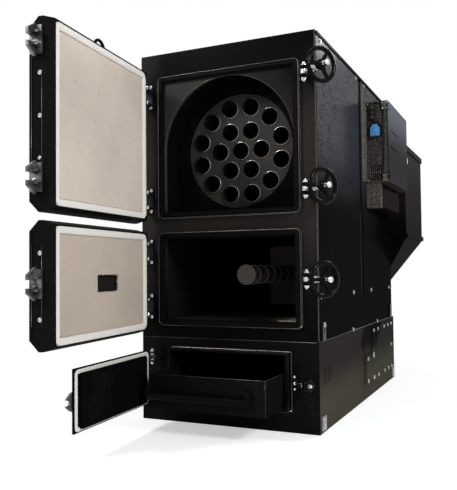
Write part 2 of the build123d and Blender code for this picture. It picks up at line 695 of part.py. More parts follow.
with BuildPart() as knob:
    with BuildSketch(Plane.YZ.offset(knob_at - 12)):
        Circle(knob_r)
        with PolarLocations(knob_r - 2, 5, start_angle=90):
            Circle(9)
    extrude(amount=24)
    along_x(knob_at - 27, knob_at - 11, 0, 0, 13)
    along_x(knob_at - 28, knob_at + 30, 0, 0, 6.1, Mode.SUBTRACT)
put(knob.part, "ash_knob", ash_place)

# Slotted lugs at the seam and corner feet, on both sides
lug_h = 80
with BuildPart() as body_brackets:
    for s in (-1, 1):
        for y in (front + 60, rear - 60):
            xa = min(s * half, s * (half + 8))
            xb = max(s * half, s * (half + 8))
            block(xa, xb, y - 22, y + 22, base_h + 4, base_h + 4 + lug_h)
            block(xa - 1, xb + 1, y - 6, y + 6, base_h + 34, base_h + 64, Mode.SUBTRACT)
        for y in (front + 50, base_rear - 50):
            xa = min(s * half, s * (half + 6))
            xb = max(s * half, s * (half + 6))
            block(xa, xb, y - 30, y + 30, 12, 72)
body_brackets.part.label = "body_brackets"
export_step(body_brackets.part, "parts/body_brackets.step")

# Screwed cover and shallow riser box on the right of the base
with BuildPart() as base_covers:
    riser_end = front + riser_back
    block(half, half + 3, riser_end + cover_gap, base_rear - 90, cover_rise, base_h - cover_drop)
    block(half, half + 22, riser_end - riser_l, riser_end, riser_z, riser_z + riser_h)
    chamfer(base_covers.faces().sort_by(Axis.X)[-1].edges(), 4)
base_covers.part.label = "base_covers"
export_step(base_covers.part, "parts/base_covers.step")

# Control cabinet on the right side, its front strip carrying switches, socket and vents
cab_z1 = body_h - cab_drop
cab_z0 = cab_z1 - cab_h
cab_y0 = front + cab_y
cab_y1 = cab_y0 + cab_d
cab_x0 = half
cab_x1 = half + cab_w
strip_x = cab_x0 + cab_w / 2 - 8
strip_w = 92
strip_back = 8
with BuildPart() as cabinet_box:
    block(cab_x0, cab_x1, cab_y0, cab_y1, cab_z0, cab_z1)
    block(cab_x0 + 3, cab_x1 + 1, cab_y0 + 12, cab_y1 - 3, cab_z0 + 3, cab_z1 - 3, Mode.SUBTRACT)
    with BuildSketch(wall_plane(cab_y0)):
        with Locations((strip_x, (cab_z0 + cab_z1) / 2)):
            RectangleRounded(strip_w, cab_h - 14, 5)
    extrude(amount=-strip_back, mode=Mode.SUBTRACT)
    with BuildSketch(wall_plane(cab_y0)):
        for zc in (cab_z0 + 34, cab_z0 + 82):
            with Locations((strip_x + 2, zc)):
                with GridLocations(11, 38, 6, 1):
                    SlotOverall(38, 5, rotation=90)
    extrude(amount=-14, mode=Mode.SUBTRACT)
cabinet_box.part.label = "cabinet_box"
export_step(cabinet_box.part, "parts/cabinet_box.step")

# Rocker housing, socket, trunking and relay box below the cabinet
socket_x = strip_x + 3
socket_z = cab_z1 - 164
with BuildPart() as cabinet_fittings:
    with BuildSketch(wall_plane(cab_y0 + strip_back - seat)):
        with Locations((strip_x - 14, cab_z1 - 62)):
            RectangleRounded(30, 82, 4)
    extrude(amount=10)
    with BuildSketch(wall_plane(cab_y0 + strip_back - seat)):
        with Locations((socket_x, socket_z)):
            RectangleRounded(64, 66, 8)
        with Locations((socket_x, socket_z + 34)):
            RectangleRounded(36, 34, 10)
    extrude(amount=strip_back + 14)
    block(cab_x0 + seat, cab_x0 + 76, cab_y0 + 6, cab_y0 + 60, cab_z0 - 140, cab_z0 - seat)
    block(cab_x0 + seat, cab_x0 + 80, cab_y0 + 62, cab_y1 - 48, cab_z0 - 135, cab_z0 - seat)
cabinet_fittings.part.label = "cabinet_fittings"
export_step(cabinet_fittings.part, "parts/cabinet_fittings.step")

# Cabinet door with two pressed louvres and its hinge knuckles
with BuildPart() as cabinet_door:
    block(cab_x1 + 1, cab_x1 + 5, cab_y0 + 4, cab_y1, cab_z0, cab_z1)
    for zc in (cab_z0 + 216, cab_z0 + 308):
        with BuildSketch(Plane.XZ.offset(-(cab_y0 + 80))):
            with BuildLine():
                Polyline((cab_x1 + 3, zc - 12), (cab_x1 + 10, zc - 12), (cab_x1 + 3, zc + 10), close=True)
            make_face()
        extrude(amount=-190)
    for z in (cab_z0 + 20, cab_z1 - 50):
        post(cab_x1 + 7, cab_y0 - 2, z, z + 34, 7)
        block(cab_x1 + 1, cab_x1 + 8, cab_y0 - 2, cab_y0 + 24, z, z + 34)
cabinet_door.part.label = "cabinet_door"
export_step(cabinet_door.part, "parts/cabinet_door.step")

# Fuel bin behind the body, with its tapered foot, lid, stand and screw drive
bin_z1 = body_h - bin_drop
bin_z0 = bin_z1 - bin_h
bin_x = bin_w / 2
bin_y0 = rear + bin_gap
bin_y1 = bin_y0 + bin_d
bin_yc = (bin_y0 + bin_y1) / 2
foot_yc = bin_y0 + foot_d / 2
seam_t = 10
with BuildPart() as bin_walls:
    block(-bin_x, bin_x, bin_y0, bin_y1, bin_z0, bin_z1)
    block(-bin_x - seam_t, bin_x + seam_t, bin_y0, bin_y1 + seam_t, bin_z0, bin_z0 + 30)
    chamfer(bin_walls.faces().filter_by(Axis.Z).sort_by(Axis.Z)[1:-1].edges().group_by(Axis.Z)[-1], 3)
    block(-bin_x + bin_t, bin_x - bin_t, bin_y0 + bin_t, bin_y1 - bin_t, bin_z0 - 1, bin_z1 + 1, Mode.SUBTRACT)
bin_walls.part.label = "bin_walls"
export_step(bin_walls.part, "parts/bin_walls.step")

with BuildPart() as bin_foot:
    for inset, how in ((0, Mode.ADD), (bin_t, Mode.SUBTRACT)):
        with BuildSketch(Plane.XY.offset(bin_z0 - seat)):
            with Locations((0, bin_yc)):
                Rectangle(bin_w - 2 * inset, bin_d - 2 * inset)
        with BuildSketch(Plane.XY.offset(foot_z + inset)):
            with Locations((0, foot_yc)):
                Rectangle(foot_w - 2 * inset, foot_d - 2 * inset)
        loft(mode=how)
    along_y(mid_x, bin_y0 - 1, drive_y + 100, feed_z, feed_r + seat, Mode.SUBTRACT)
bin_foot.part.label = "bin_foot"
export_step(bin_foot.part, "parts/bin_foot.step")

lid_t = 5
lid_lap = 8
lid_edge = 30
with BuildPart() as bin_lid:
    block(-bin_x - lid_lap, bin_x + lid_lap, bin_y0 - 6, bin_y1 + lid_lap, bin_z1 - lid_edge, bin_z1 + seat + lid_t)
    block(
        -bin_x - lid_lap + lid_t, bin_x + lid_lap - lid_t, bin_y0 - 7, bin_y1 + lid_lap - lid_t,
        bin_z1 - lid_edge - 1, bin_z1 + seat, Mode.SUBTRACT,
    )
bin_lid.part.label = "bin_lid"
export_step(bin_lid.part, "parts/bin_lid.step")

# Stand of four legs with rails, under the foot
leg = 40
leg_x = foot_w / 2 - leg
leg_y = (bin_y0 + 50, bin_y0 + foot_d - leg)
rail_z = 80
with BuildPart() as bin_stand:
    for s in (-1, 1):
        for y in leg_y:
            block(s * leg_x - leg / 2, s * leg_x + leg / 2, y, y + leg, 0, foot_z - seat)
        block(s * leg_x - leg / 2, s * leg_x + leg / 2, leg_y[0], leg_y[1] + leg, rail_z, rail_z + leg)
    block(-leg_x, leg_x, leg_y[1], leg_y[1] + leg, rail_z, rail_z + leg)
    block(-leg_x, leg_x, leg_y[0], leg_y[0] + leg, foot_z - seat - leg, foot_z - seat)
bin_stand.part.label = "bin_stand"
export_step(bin_stand.part, "parts/bin_stand.step")

# Gearbox and motor on the end of the screw, behind the sloping foot
gear_y = drive_y + 20
motor_y = gear_y + 130
motor_r = 62
with BuildPart() as gear_motor:
    along_y(mid_x, drive_y + seat, gear_y, feed_z, feed_r + 28)
    with BuildSketch(wall_plane(gear_y)):
        with Locations((mid_x, feed_z - 18)):
            RectangleRounded(120, 156, 26)
    extrude(amount=-130)
    along_y(mid_x, motor_y, motor_y + 190, feed_z - 30, motor_r)
    along_y(mid_x, motor_y + 190, motor_y + 230, feed_z - 30, motor_r - 6)
    block(mid_x + 20, mid_x + motor_r + 24, motor_y + 40, motor_y + 130, feed_z - 64, feed_z + 8)
gear_motor.part.label = "gear_motor"
export_step(gear_motor.part, "parts/gear_motor.step")

# Flue spigot on the top and the two water flanges, on the hidden sides
flue_up = 120
with BuildPart() as flue_spigot:
    post(mid_x, flue_y, body_h, body_h + flue_up, flue_r)
    post(mid_x, flue_y, body_h, body_h + 8, flue_r + 25)
    post(mid_x, flue_y, body_h - 1, body_h + flue_up + 1, flue_r - 4, Mode.SUBTRACT)
flue_spigot.part.label = "flue_spigot"
export_step(flue_spigot.part, "parts/flue_spigot.step")

flange_r = 92.5
flange_pcd = 145
flange_hole = 9
flange_out = 110
flange_t = 18
with BuildPart() as flow_flange:
    post(mid_x, flow_y, body_h, body_h + flange_out, flange_pipe)
    post(mid_x, flow_y, body_h + flange_out - flange_t, body_h + flange_out, flange_r)
    post(mid_x, flow_y, body_h - 1, body_h + flange_out + 1, flange_pipe - 4, Mode.SUBTRACT)
    with Locations((mid_x, flow_y, body_h + flange_out - flange_t / 2)):
        with PolarLocations(flange_pcd / 2, 4, start_angle=45):
            Cylinder(flange_hole, flange_t + 2, mode=Mode.SUBTRACT)
flow_flange.part.label = "flow_flange"
export_step(flow_flange.part, "parts/flow_flange.step")

return_x = -half - flange_out
with BuildPart() as return_flange:
    along_x(return_x, -skin_x, return_y, return_z, flange_pipe)
    along_x(return_x, return_x + flange_t, return_y, return_z, flange_r)
    along_x(return_x - 1, -skin_x + 1, return_y, return_z, flange_pipe - 4, Mode.SUBTRACT)
    with Locations(Location((return_x + flange_t / 2, return_y, return_z), (0, 90, 0))):
        with PolarLocations(flange_pcd / 2, 4, start_angle=45):
            Cylinder(flange_hole, flange_t + 2, mode=Mode.SUBTRACT)
return_flange.part.label = "return_flange"
export_step(return_flange.part, "parts/return_flange.step")
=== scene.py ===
"""Coal boiler: the finish, fixings and soft seals that dress the solid model."""
import json
import math
import random

import bmesh
import bpy
from bpy.props import FloatProperty, FloatVectorProperty, IntProperty, PointerProperty
from mathutils import Matrix, Vector, noise


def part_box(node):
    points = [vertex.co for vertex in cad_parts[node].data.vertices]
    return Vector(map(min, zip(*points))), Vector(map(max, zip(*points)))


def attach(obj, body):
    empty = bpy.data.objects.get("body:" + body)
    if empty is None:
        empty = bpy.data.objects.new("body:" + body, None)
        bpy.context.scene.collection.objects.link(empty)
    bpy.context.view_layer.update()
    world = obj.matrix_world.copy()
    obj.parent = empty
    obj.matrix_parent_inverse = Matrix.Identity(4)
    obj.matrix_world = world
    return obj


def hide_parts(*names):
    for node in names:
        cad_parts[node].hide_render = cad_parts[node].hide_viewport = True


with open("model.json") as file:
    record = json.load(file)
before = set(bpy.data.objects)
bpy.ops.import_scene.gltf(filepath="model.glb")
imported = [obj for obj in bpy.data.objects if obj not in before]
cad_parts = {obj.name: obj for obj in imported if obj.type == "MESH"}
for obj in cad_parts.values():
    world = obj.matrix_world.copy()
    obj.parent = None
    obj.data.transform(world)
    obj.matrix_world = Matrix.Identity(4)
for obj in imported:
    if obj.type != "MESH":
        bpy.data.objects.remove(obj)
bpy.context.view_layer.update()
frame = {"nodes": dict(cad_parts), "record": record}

bl_info = {
    "name": "Coal boiler dressing",
    "version": (1, 0, 0),
    "blender": (4, 5, 0),
    "location": "3D View > Sidebar > Boiler",
    "description": "Finishes, fixings, seals and stage for a coal boiler",
    "category": "Add Mesh",
}

RIGHT, OUT, UP = Vector((1, 0, 0)), Vector((0, -1, 0)), Vector((0, 0, 1))
HERE = Matrix()
MOVE = Matrix.Translation
FACE_RIGHT = Matrix.Rotation(math.pi / 2, 4, "Y")  # turns Z to +X
FACE_OUT = Matrix.Rotation(math.pi / 2, 4, "X")  # turns Z to -Y, the boiler's front
TIP = 0.0001  # radius of a lathe profile where it meets its axis


def turns(steps):
    """Angles of even steps round a circle."""
    return [2 * math.pi * k / steps for k in range(steps)]


def extent(points):
    """Lowest and highest corner of some points."""
    return tuple(Vector([pick(p[i] for p in points) for i in range(3)]) for pick in (min, max))


# Shader and geometry nodes

class Sock:
    """A socket that takes part in Python arithmetic."""

    def __init__(self, home, out):
        self.home = home
        self.out = out

    def sum(self, op, a, b, clamp=False):
        return self.home.node("ShaderNodeMath", {0: a, 1: b}, operation=op, use_clamp=clamp)

    def most(self, b):
        return self.sum("MAXIMUM", self, b)

    def clip(self):
        return self.sum("ADD", self, 0.0, True)

    def band(self, low, high):
        """Nought below low, one above high and smooth between."""
        return self.home.node("ShaderNodeMapRange", {0: self, 1: low, 2: high}, interpolation_type="SMOOTHSTEP")


for name, op in (("add", "ADD"), ("sub", "SUBTRACT"), ("mul", "MULTIPLY"), ("pow", "POWER")):
    setattr(Sock, f"__{name}__", lambda a, b, op=op: a.sum(op, a, b))
    setattr(Sock, f"__r{name}__", lambda a, b, op=op: a.sum(op, b, a))


class Nodes:
    """A node tree under construction."""

    def __init__(self, tree):
        self.tree = tree
        tree.nodes.clear()

    def put(self, into, val):
        """Link an input to a socket, or set its value."""
        val = val.out if isinstance(val, Sock) else val
        if isinstance(val, bpy.types.NodeSocket):
            self.tree.links.new(val, into)
        elif into.type == "RGBA" and len(val) == 3:
            into.default_value = (*val, 1)
        else:
            into.default_value = val

    def node(self, kind, values=None, out=0, **settings):
        """Add a node with its settings and its inputs' values, and give one output."""
        n = self.tree.nodes.new(kind)
        for key, val in settings.items():
            setattr(n, key, val)
        for key, val in (values or {}).items():
            self.put(n.inputs[key], val)
        return Sock(self, n.outputs[out])

    def mix(self, mask, a, b):
        """One shader, and another where the mask is one."""
        return self.node("ShaderNodeMixShader", {0: mask, 1: a, 2: b})

    def clear_rays(self):
        """One for what the camera sees directly, in a mirror or through glass."""
        camera, mirror, glass = [self.node("ShaderNodeLightPath", out=kind + " Ray")
                                 for kind in ("Is Camera", "Is Glossy", "Is Transmission")]
        return camera.most(mirror.most(glass))


class Paint(Nodes):
    """One material and the nodes that make it."""

    def __init__(self, name, colour, rough, shine=0.5, coat=0.0, coat_rough=0.03, coat_ior=1.5, metal=0.0):
        self.mat = bpy.data.materials.new(name)
        self.mat.use_nodes = True
        super().__init__(self.mat.node_tree)
        self.end = self.tree.nodes.new("ShaderNodeOutputMaterial").inputs[0]
        self.shader = self.tree.nodes.new("ShaderNodeBsdfPrincipled")
        self.put(self.end, self.shader.outputs[0])
        self.set(Base_Color=colour, Roughness=rough, Metallic=metal, Specular_IOR_Level=shine, Coat_Weight=coat,
                 Coat_Roughness=coat_rough, Coat_IOR=coat_ior)
        self.mat.diffuse_color = (*self.shader.inputs["Base Color"].default_value[:3], 1)

    def set(self, **looks):
        """Set the shader's inputs, their names written with underscores."""
        for key, val in looks.items():
            self.put(self.shader.inputs[key.replace("_", " ")], val)

    def done(self, relief, strength, depth, **looks):
        """Set the relief and the last of the looks, and give the material."""
        bump = self.node("ShaderNodeBump", {"Height": relief, "Strength": strength, "Distance": depth})
        self.set(Normal=bump, **looks)
        return self.mat

    def coords(self):
        return self.node("ShaderNodeTexCoord", out="Object")

    def axis(self, i):
        """One of the object coordinates as a number."""
        return self.node("ShaderNodeSeparateXYZ", {0: self.coords()}, out=i)

    def from_line(self, x, y):
        """Distance from an upright line."""
        return ((self.axis(0) - x) ** 2 + (self.axis(1) - y) ** 2) ** 0.5

    def cloud(self, scale, detail, stretch=(1, 1, 1)):
        """Smooth random values about 0.5."""
        at = self.node("ShaderNodeMapping", {"Vector": self.coords(), "Scale": stretch})
        return self.node("ShaderNodeTexNoise", {"Vector": at, "Scale": scale, "Detail": detail, "Roughness": 0.55})

    def cells(self, scale):
        """Distance from the nearest of scattered points."""
        return self.node("ShaderNodeTexVoronoi", {"Vector": self.coords(), "Scale": scale})

    def peel(self):
        """Height of sprayed paint's orange peel."""
        return self.cloud(170, 2) + 0.4 * self.cloud(700, 1)

    def blend(self, mask, a, b):
        return self.node("ShaderNodeMix", {0: mask, 6: a, 7: b}, out=2, data_type="RGBA")


# Materials

ENAMEL = (0.2, 1.35)  # roughness and IOR of its coat


def gloss_black(name, colour, rough, coat, zones=(), dust=0.2, peel=0.25, shine=0.0, sheen=None):
    """Sprayed black enamel with orange peel, faint dust and rubbed patches.

    zones are (axis, from, to, tone): the colour turns to the tone along an object axis; the side panels, fuel bin and
    cabinet door use them for painted sheen and painted shade.
    sheen is (low, high, most): a flecked coat that thickens from one height to another.
    """
    p = Paint(name, colour, rough, shine, coat, *ENAMEL)
    rub = p.cloud(3.2, 5).band(0.45, 0.75)
    fine = p.cloud(38, 4).band(0.5, 0.8)
    drift = 0.12 * (p.cloud(2.3, 4) - 0.5)
    base = colour
    for i, start, stop, tone in zones:
        mask = (p.axis(i) + drift).band(min(start, stop), max(start, stop))
        base = p.blend(mask if stop > start else 1 - mask, base, tone)
    if sheen:
        low, high, most = sheen
        streak = p.cloud(7, 4, (1, 1, 0.25))
        flecks = 0.2 + 1.9 * p.cloud(110, 2).band(0.36, 0.64) - 0.5 * p.cloud(9, 4).band(0.5, 0.7)
        p.set(Coat_Weight=coat + ((p.axis(2) + 0.12 * streak).band(low, high) * flecks).clip() * most)
    return p.done(p.peel(), peel, 0.0006, Base_Color=p.blend((rub * fine * dust).clip(), base, (0.05, 0.047, 0.043)),
                  Roughness=rough + 0.12 * rub + 0.08 * fine)


def soot(name, colour, ash_tone, amount):
    """Heat-dulled black steel with pale ash blown into it."""
    p = Paint(name, colour, 0.45, 0.0, 0.012, 0.25)
    ash = (p.cloud(6, 6).band(0.48, 0.72) * p.cloud(55, 4).band(0.35, 0.7)).clip()
    return p.done(p.cloud(90, 5), 0.35, 0.0012, Base_Color=p.blend((ash * amount).clip(), colour, ash_tone),
                  Roughness=0.37 + 0.35 * ash)


def speckled(name, colour, speck, size, share):
    """Hammered paint with fine light flecks."""
    p = Paint(name, colour, 0.42, 0.0, 0.08, 0.3, 1.35)
    fleck = p.cloud(size, 2).band(share, share + 0.05) * p.cloud(size * 0.21, 3).band(0.3, 0.55)
    return p.done(p.cloud(size, 3), 0.45, 0.0006, Base_Color=p.blend((fleck * 0.8).clip(), colour, speck),
                  Roughness=0.36 + 0.2 * p.cloud(30, 4))


def bright_metal(name, colour, rough, spangle=0.0):
    """Plated steel with fine turning marks, or zinc with its spangle."""
    p = Paint(name, colour, rough, metal=1.0)
    cell = p.cells(120)
    dull = (p.cloud(25, 4).band(0.5, 0.8) * 0.35 + spangle * cell).clip()
    return p.done(p.cloud(900, 2), 0.12, 0.0003, Base_Color=p.blend(dull, colour, tuple(c * 0.6 for c in colour)),
                  Roughness=rough + 0.14 * p.cloud(60, 4).band(0.4, 0.75) + spangle * cell * 0.3)


def front_paint():
    """Front plate: black enamel with a brownish painted reflection across the middle, a bluish painted reflection in
    the top left corner, and the smoke opening's face rougher and painted lighter on its left, as if lit.
    """
    p = Paint("front_paint", (0.004, 0.004, 0.0045), 0.28, 0.0, 0.08, *ENAMEL)
    x, z = p.axis(0), p.axis(2)
    cloud = 0.25 * (p.cloud(2.4, 4) - 0.5)
    low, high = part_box("upper_frame")
    # painted reflection: a lighter brownish band across the middle of the plate
    painted_reflection_band = (z + cloud).band(0.45, 0.92) * (1 - (z + cloud).band(1.25, 1.7))
    # painted light: the left part of the smoke opening's face is made lighter, as if lit; the same mask also makes it
    # rougher
    lit_arch_face = (z.band(low.z + 0.01, low.z + 0.02) * (1 - z.band(high.z - 0.02, high.z - 0.01))
            * x.band(low.x + 0.01, low.x + 0.02) * (1 - (x + cloud).band(-0.1, 0.35)))
    # painted reflection: a bluish lighter patch in the top left corner of the plate
    corner = (1 - (x + cloud).band(-0.44, -0.3)) * z.band(1.45, 1.7)
    tone = p.blend(painted_reflection_band, (0.0030, 0.0028, 0.0027), (0.0235, 0.0205, 0.018))
    tone = p.blend(corner, tone, (0.016, 0.0175, 0.019))
    return p.done(p.peel(), 0.25, 0.0006, Base_Color=p.blend(lit_arch_face, tone, (0.036, 0.0355, 0.0325)),
                  Roughness=0.28 + 0.15 * lit_arch_face + 0.1 * p.cloud(38, 4).band(0.5, 0.8))


def fire_black():
    """Firebox walls: lamp black, with the rear wall painted pale as if lit by the light falling in."""
    p = Paint("fire_black", (0.006, 0.005, 0.0045), 0.5, 0.03)
    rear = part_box("firebox")[1].y
    # painted light: a pale band on the rear wall stands in for the light that falls on it
    wall = p.axis(1).band(rear - 0.06, rear - 0.03) * (0.55 + 0.6 * p.cloud(9, 5))
    return p.done(p.cloud(90, 5), 0.35, 0.0012,
                  Base_Color=p.blend(wall.clip(), (0.008, 0.007, 0.0065), (0.36, 0.29, 0.26)))


def grate_iron():
    """Grate bars and floor, with a pale ash-coloured patch painted on the right front where light falls."""
    p = Paint("grate_iron", (0.012, 0.010, 0.009), 0.75, 0.15)
    lit = (p.axis(0) + 0.35 * (p.cloud(5, 4) - 0.5)).band(0.12, 0.3) * (1 - p.axis(1).band(-0.75, -0.35))
    # painted light: the pale patch in this mask stands in for light falling on the grate's right front
    dust = (lit * (0.55 + 0.6 * p.cloud(40, 5))).clip()
    return p.done(p.cloud(300, 4), 0.5, 0.001, Base_Color=p.blend(dust, (0.011, 0.0095, 0.0085), (0.34, 0.27, 0.19)))


def fitting_paint():
    """The cabinet's fittings: dark socket and switches, a flecked trunk and a brown relay box."""
    p = Paint("fitting_paint", (0.02, 0.018, 0.016), 0.4, 0.0, 0.02)
    fleck = p.cloud(520, 2).band(0.56, 0.62) * p.cloud(80, 3).band(0.35, 0.6)
    trunk = p.blend((fleck + 0.1 * p.cloud(12, 4)).clip(), (0.034, 0.029, 0.024), (0.4, 0.37, 0.33))
    low = p.blend(p.axis(1).band(0.179, 0.183), trunk, (0.0135, 0.009, 0.009))
    return p.done(p.cloud(300, 3), 0.2, 0.0005, Roughness=0.36 + 0.2 * p.cloud(30, 4),
                  Base_Color=p.blend(p.axis(2).band(1.4, 1.41), low, (0.012, 0.012, 0.013)))


def lining():
    """Cast refractory with grain, pits, trowel marks and slight staining, browner on the lower door."""
    look = bpy.context.scene.boiler_finish
    p = Paint("lining", look.lining, look.cast_rough, 0.2)
    stain = p.cloud(2.6, 5).band(0.35, 0.75)
    grain = p.cloud(260, 4)
    pits = 1 - p.cells(210).band(0.05, 0.28)
    chips = p.cloud(34, 6).band(0.66, 0.72)
    trowel = p.cloud(16, 4, (1, 1, 6))
    upper = p.blend(stain, look.lining, (0.58, 0.50, 0.425))
    lower = p.blend(stain, (0.56, 0.47, 0.39), (0.48, 0.40, 0.33))
    base = p.blend(p.axis(2).band(0.93, 0.99), lower, upper)
    # painted shade: the pits are darkened in colour as well as sunk in the relief
    dark = (pits * 0.3 + (grain - 0.5) * 0.4 + chips * 0.35 + (trowel - 0.5) * 0.25).clip()
    return p.done(grain + 0.6 * p.cloud(45, 3) - 0.8 * pits - 0.5 * chips, 0.6, 0.0012,
                  Base_Color=p.blend(dark, base, (0.26, 0.22, 0.185)))


def rope():
    """Bleached ceramic-fibre rope."""
    colour = bpy.context.scene.boiler_finish.rope
    p = Paint("rope", colour, 0.95, 0.15)
    fluff = p.cloud(420, 5)
    dirt = p.cloud(14, 4).band(0.62, 0.85)
    white = p.blend(fluff, (0.78, 0.72, 0.65), colour)
    return p.done(fluff + 0.5 * p.cloud(1300, 2), 0.7, 0.0015,
                  Base_Color=p.blend(dirt * 0.3, white, (0.5, 0.45, 0.38)))


def hinge_steel():
    """Black lugs with the bright ends of their upright pins."""
    dark = (0.008, 0.008, 0.009)
    p = Paint("hinge_steel", dark, 0.3, 0.15)
    pins = [1 - p.from_line(*joint_row(joint)["pos_m"][:2]).band(r, r + 0.0004)
            for joint, r in (("upper_door_hinge", 0.0085), ("ash_door_hinge", 0.0065))]
    mask = (pins[0] + pins[1]).clip()
    return p.done(p.cloud(170, 2), 0.2, 0.0005, Base_Color=p.blend(mask, dark, (0.68, 0.68, 0.7)), Metallic=mask)


def black_plastic():
    """Moulded black plastic with a polished skin."""
    p = Paint("black_plastic", (0.0022, 0.0022, 0.0026), 0.07, 0.0, 0.6, 0.04, 1.2)
    return p.done(p.cloud(500, 2), 0.08, 0.0004, Roughness=0.07 + 0.12 * p.cloud(25, 4).band(0.45, 0.75))


def cast_iron():
    """Grey door catches, half polished by handling."""
    p = Paint("cast_iron", (0.05, 0.05, 0.052), 0.32, metal=0.7)
    worn = p.cloud(22, 4).band(0.4, 0.65)
    return p.done(p.cloud(120, 3), 0.15, 0.0006, Roughness=0.42 - 0.14 * worn,
                  Base_Color=p.blend(worn, (0.07, 0.07, 0.072), (0.24, 0.24, 0.245)))


def bracket_steel():
    """Body brackets: black above, zinc plated at the feet."""
    dark = (0.01, 0.01, 0.011)
    p = Paint("bracket_steel", dark, 0.3, 0.2)
    foot = 1 - p.axis(2).band(0.2, 0.21)
    zinc = p.blend(p.cells(110), (0.12, 0.12, 0.12), (0.4, 0.4, 0.4))
    return p.done(p.cloud(300, 3), 0.15, 0.0005, Base_Color=p.blend(foot, dark, zinc), Metallic=foot * 0.85,
                  Roughness=0.3 + 0.2 * p.cloud(30, 4))


MATS = {}
OWN_FINISH = {node: finish for finish, nodes in {
    "hinge_steel": ["hinge_lugs"],
    "cast_iron": ["upper_door_irons", "furnace_door_irons", "ash_door_irons"],
    "smoke_black": ["smoke_box", "ash_door_plate", "ash_door_box", "ash_bay"],
    "bin_brown": ["bin_walls", "bin_foot", "bin_lid"],
    "base_paint": ["base_box", "base_covers"],
    "tube_plate": ["tube_sheets"],
    "front_paint": ["front_plate"],
    "feed_steel": ["feed_pipe"],
    "fire_black": ["firebox"],
    "cabinet_paint": ["cabinet_box"],
    "panel_brown": ["cabinet_door"],
    "fitting_paint": ["cabinet_fittings"],
    "bracket_steel": ["body_brackets"],
    "grate_iron": ["grate"],
}.items() for node in nodes}


def make_materials():
    look = bpy.context.scene.boiler_finish
    dull = look.enamel_rough
    # side panels: painted sheen, pale bluish towards the top, and painted shade, slightly darker towards the rear
    side_sheen_and_shade_zones = ((2, 0.95, 1.3, (0.030, 0.030, 0.037)), (1, 0.1, 0.5, (0.0026, 0.0024, 0.0024)))
    base_zones = ((0, 0.435, 0.441, look.base), (2, 0.3, 0.12, (0.065, 0.06, 0.045)))
    # fuel bin: painted sheen, lighter towards the top, and painted shade, darker towards the bottom
    bin_sheen_and_shade_zones = ((2, 1.15, 1.5, (0.030, 0.026, 0.029)), (2, 1.12, 0.95, (0.003, 0.0028, 0.0028)))
    # cabinet door: painted sheen, pale bluish towards its top
    door_sheen_zones = ((2, 1.35, 1.62, (0.135, 0.145, 0.165)),)
    tables = {
        gloss_black: (
            ("black_paint", look.body, dull, 0.06),
            ("side_paint", look.side, dull + 0.02, 0.02, side_sheen_and_shade_zones, 0.2, 0.35, 0.0, (1.05, 1.65, 0.32)),
            ("base_paint", (0.005, 0.0045, 0.004), 0.35, 0.02, base_zones, 0.3),
            ("bin_brown", look.bin, 0.35, 0.05, bin_sheen_and_shade_zones, 0.15),
            ("panel_brown", look.door, 0.35, 0.05, door_sheen_zones, 0.15),
            ("motor_grey", look.motor, 0.4, 0.03, (), 0.2, 0.25, 0.3),
        ),
        soot: (
            ("char", (0.018, 0.015, 0.012), (0.12, 0.11, 0.1), 0.6),
            ("soot_black", (0.005, 0.0048, 0.0046), (0.05, 0.045, 0.04), 0.4),
            ("smoke_black", (0.0036, 0.0036, 0.0036), (0.018, 0.017, 0.016), 0.35),
            ("tube_plate", look.sheet, (0.115, 0.105, 0.095), 0.5),
            ("tube_steel", (0.008, 0.0075, 0.007), (0.06, 0.05, 0.04), 0.5),
            ("feed_steel", (0.17, 0.152, 0.138), (0.26, 0.23, 0.2), 0.5),
        ),
        speckled: (
            ("pale_edge", (0.5, 0.44, 0.34), (0.8, 0.76, 0.66), 90, 0.45),
            ("red_wool", (0.09, 0.025, 0.02), (0.3, 0.16, 0.13), 240, 0.5),
            ("strip_zinc", (0.06, 0.055, 0.048), (0.55, 0.52, 0.46), 430, 0.54),
            ("socket_blue", look.flap, (0.14, 0.38, 0.68), 200, 0.62),
            ("cabinet_paint", look.cabinet, (0.34, 0.31, 0.27), 480, 0.56),
        ),
        bright_metal: (
            ("edge_gloss", (0.11, 0.108, 0.105), 0.28),
            ("weld", look.weld, 0.16),
            ("tube_weld", (0.22, 0.21, 0.195), 0.2),
            ("bright_steel", look.bright, 0.14),
            ("zinc", (0.33, 0.33, 0.33), 0.35, 0.9),
        ),
    }
    for maker, rows in tables.items():
        for name, *values in rows:
            MATS[name] = maker(name, *values)
    for maker in (front_paint, fire_black, grate_iron, fitting_paint, lining, rope, hinge_steel, black_plastic,
                  cast_iron, bracket_steel):
        MATS[maker.__name__] = maker()
    MATS["cast_grate"] = MATS["grate_iron"]


# Frames of the record's joints

def joint_row(name):
    """The record's row for a joint."""
    return next(j for j in frame["record"]["behaviour"]["joints"] if j["name"] == name)


def hung(name):
    """Where a hinged piece drawn shut about the world's Z axis has been turned to, as a matrix."""
    row = joint_row(name)
    x, y, z = row["pos_m"]
    return MOVE((x, y, 0)) @ Matrix.Rotation(math.radians(-row["range_deg"][1]), 4, "Z")


def pivoted(prefix):
    """A frame on a clamp's pivot with X along its rod."""
    spin = joint_row(prefix + ("_knob_spin" if prefix == "ash" else "_wheel_spin"))["axis"]
    pivot = joint_row(prefix + "_clamp_swing")["pos_m"]
    return MOVE(pivot) @ Matrix.Rotation(math.atan2(spin[1], spin[0]), 4, "Z")


def local_box(node, place):
    """Lowest and highest corner of a node's vertices in the given frame."""
    obj = frame["nodes"][node]
    back = place.inverted() @ obj.matrix_world
    return extent([back @ v.co for v in obj.data.vertices])


def shell(door):
    """A shut door's frame, and the lowest and highest corner of its shell there."""
    place = hung(door + "_hinge")
    return place, *local_box(door + "_shell", place)


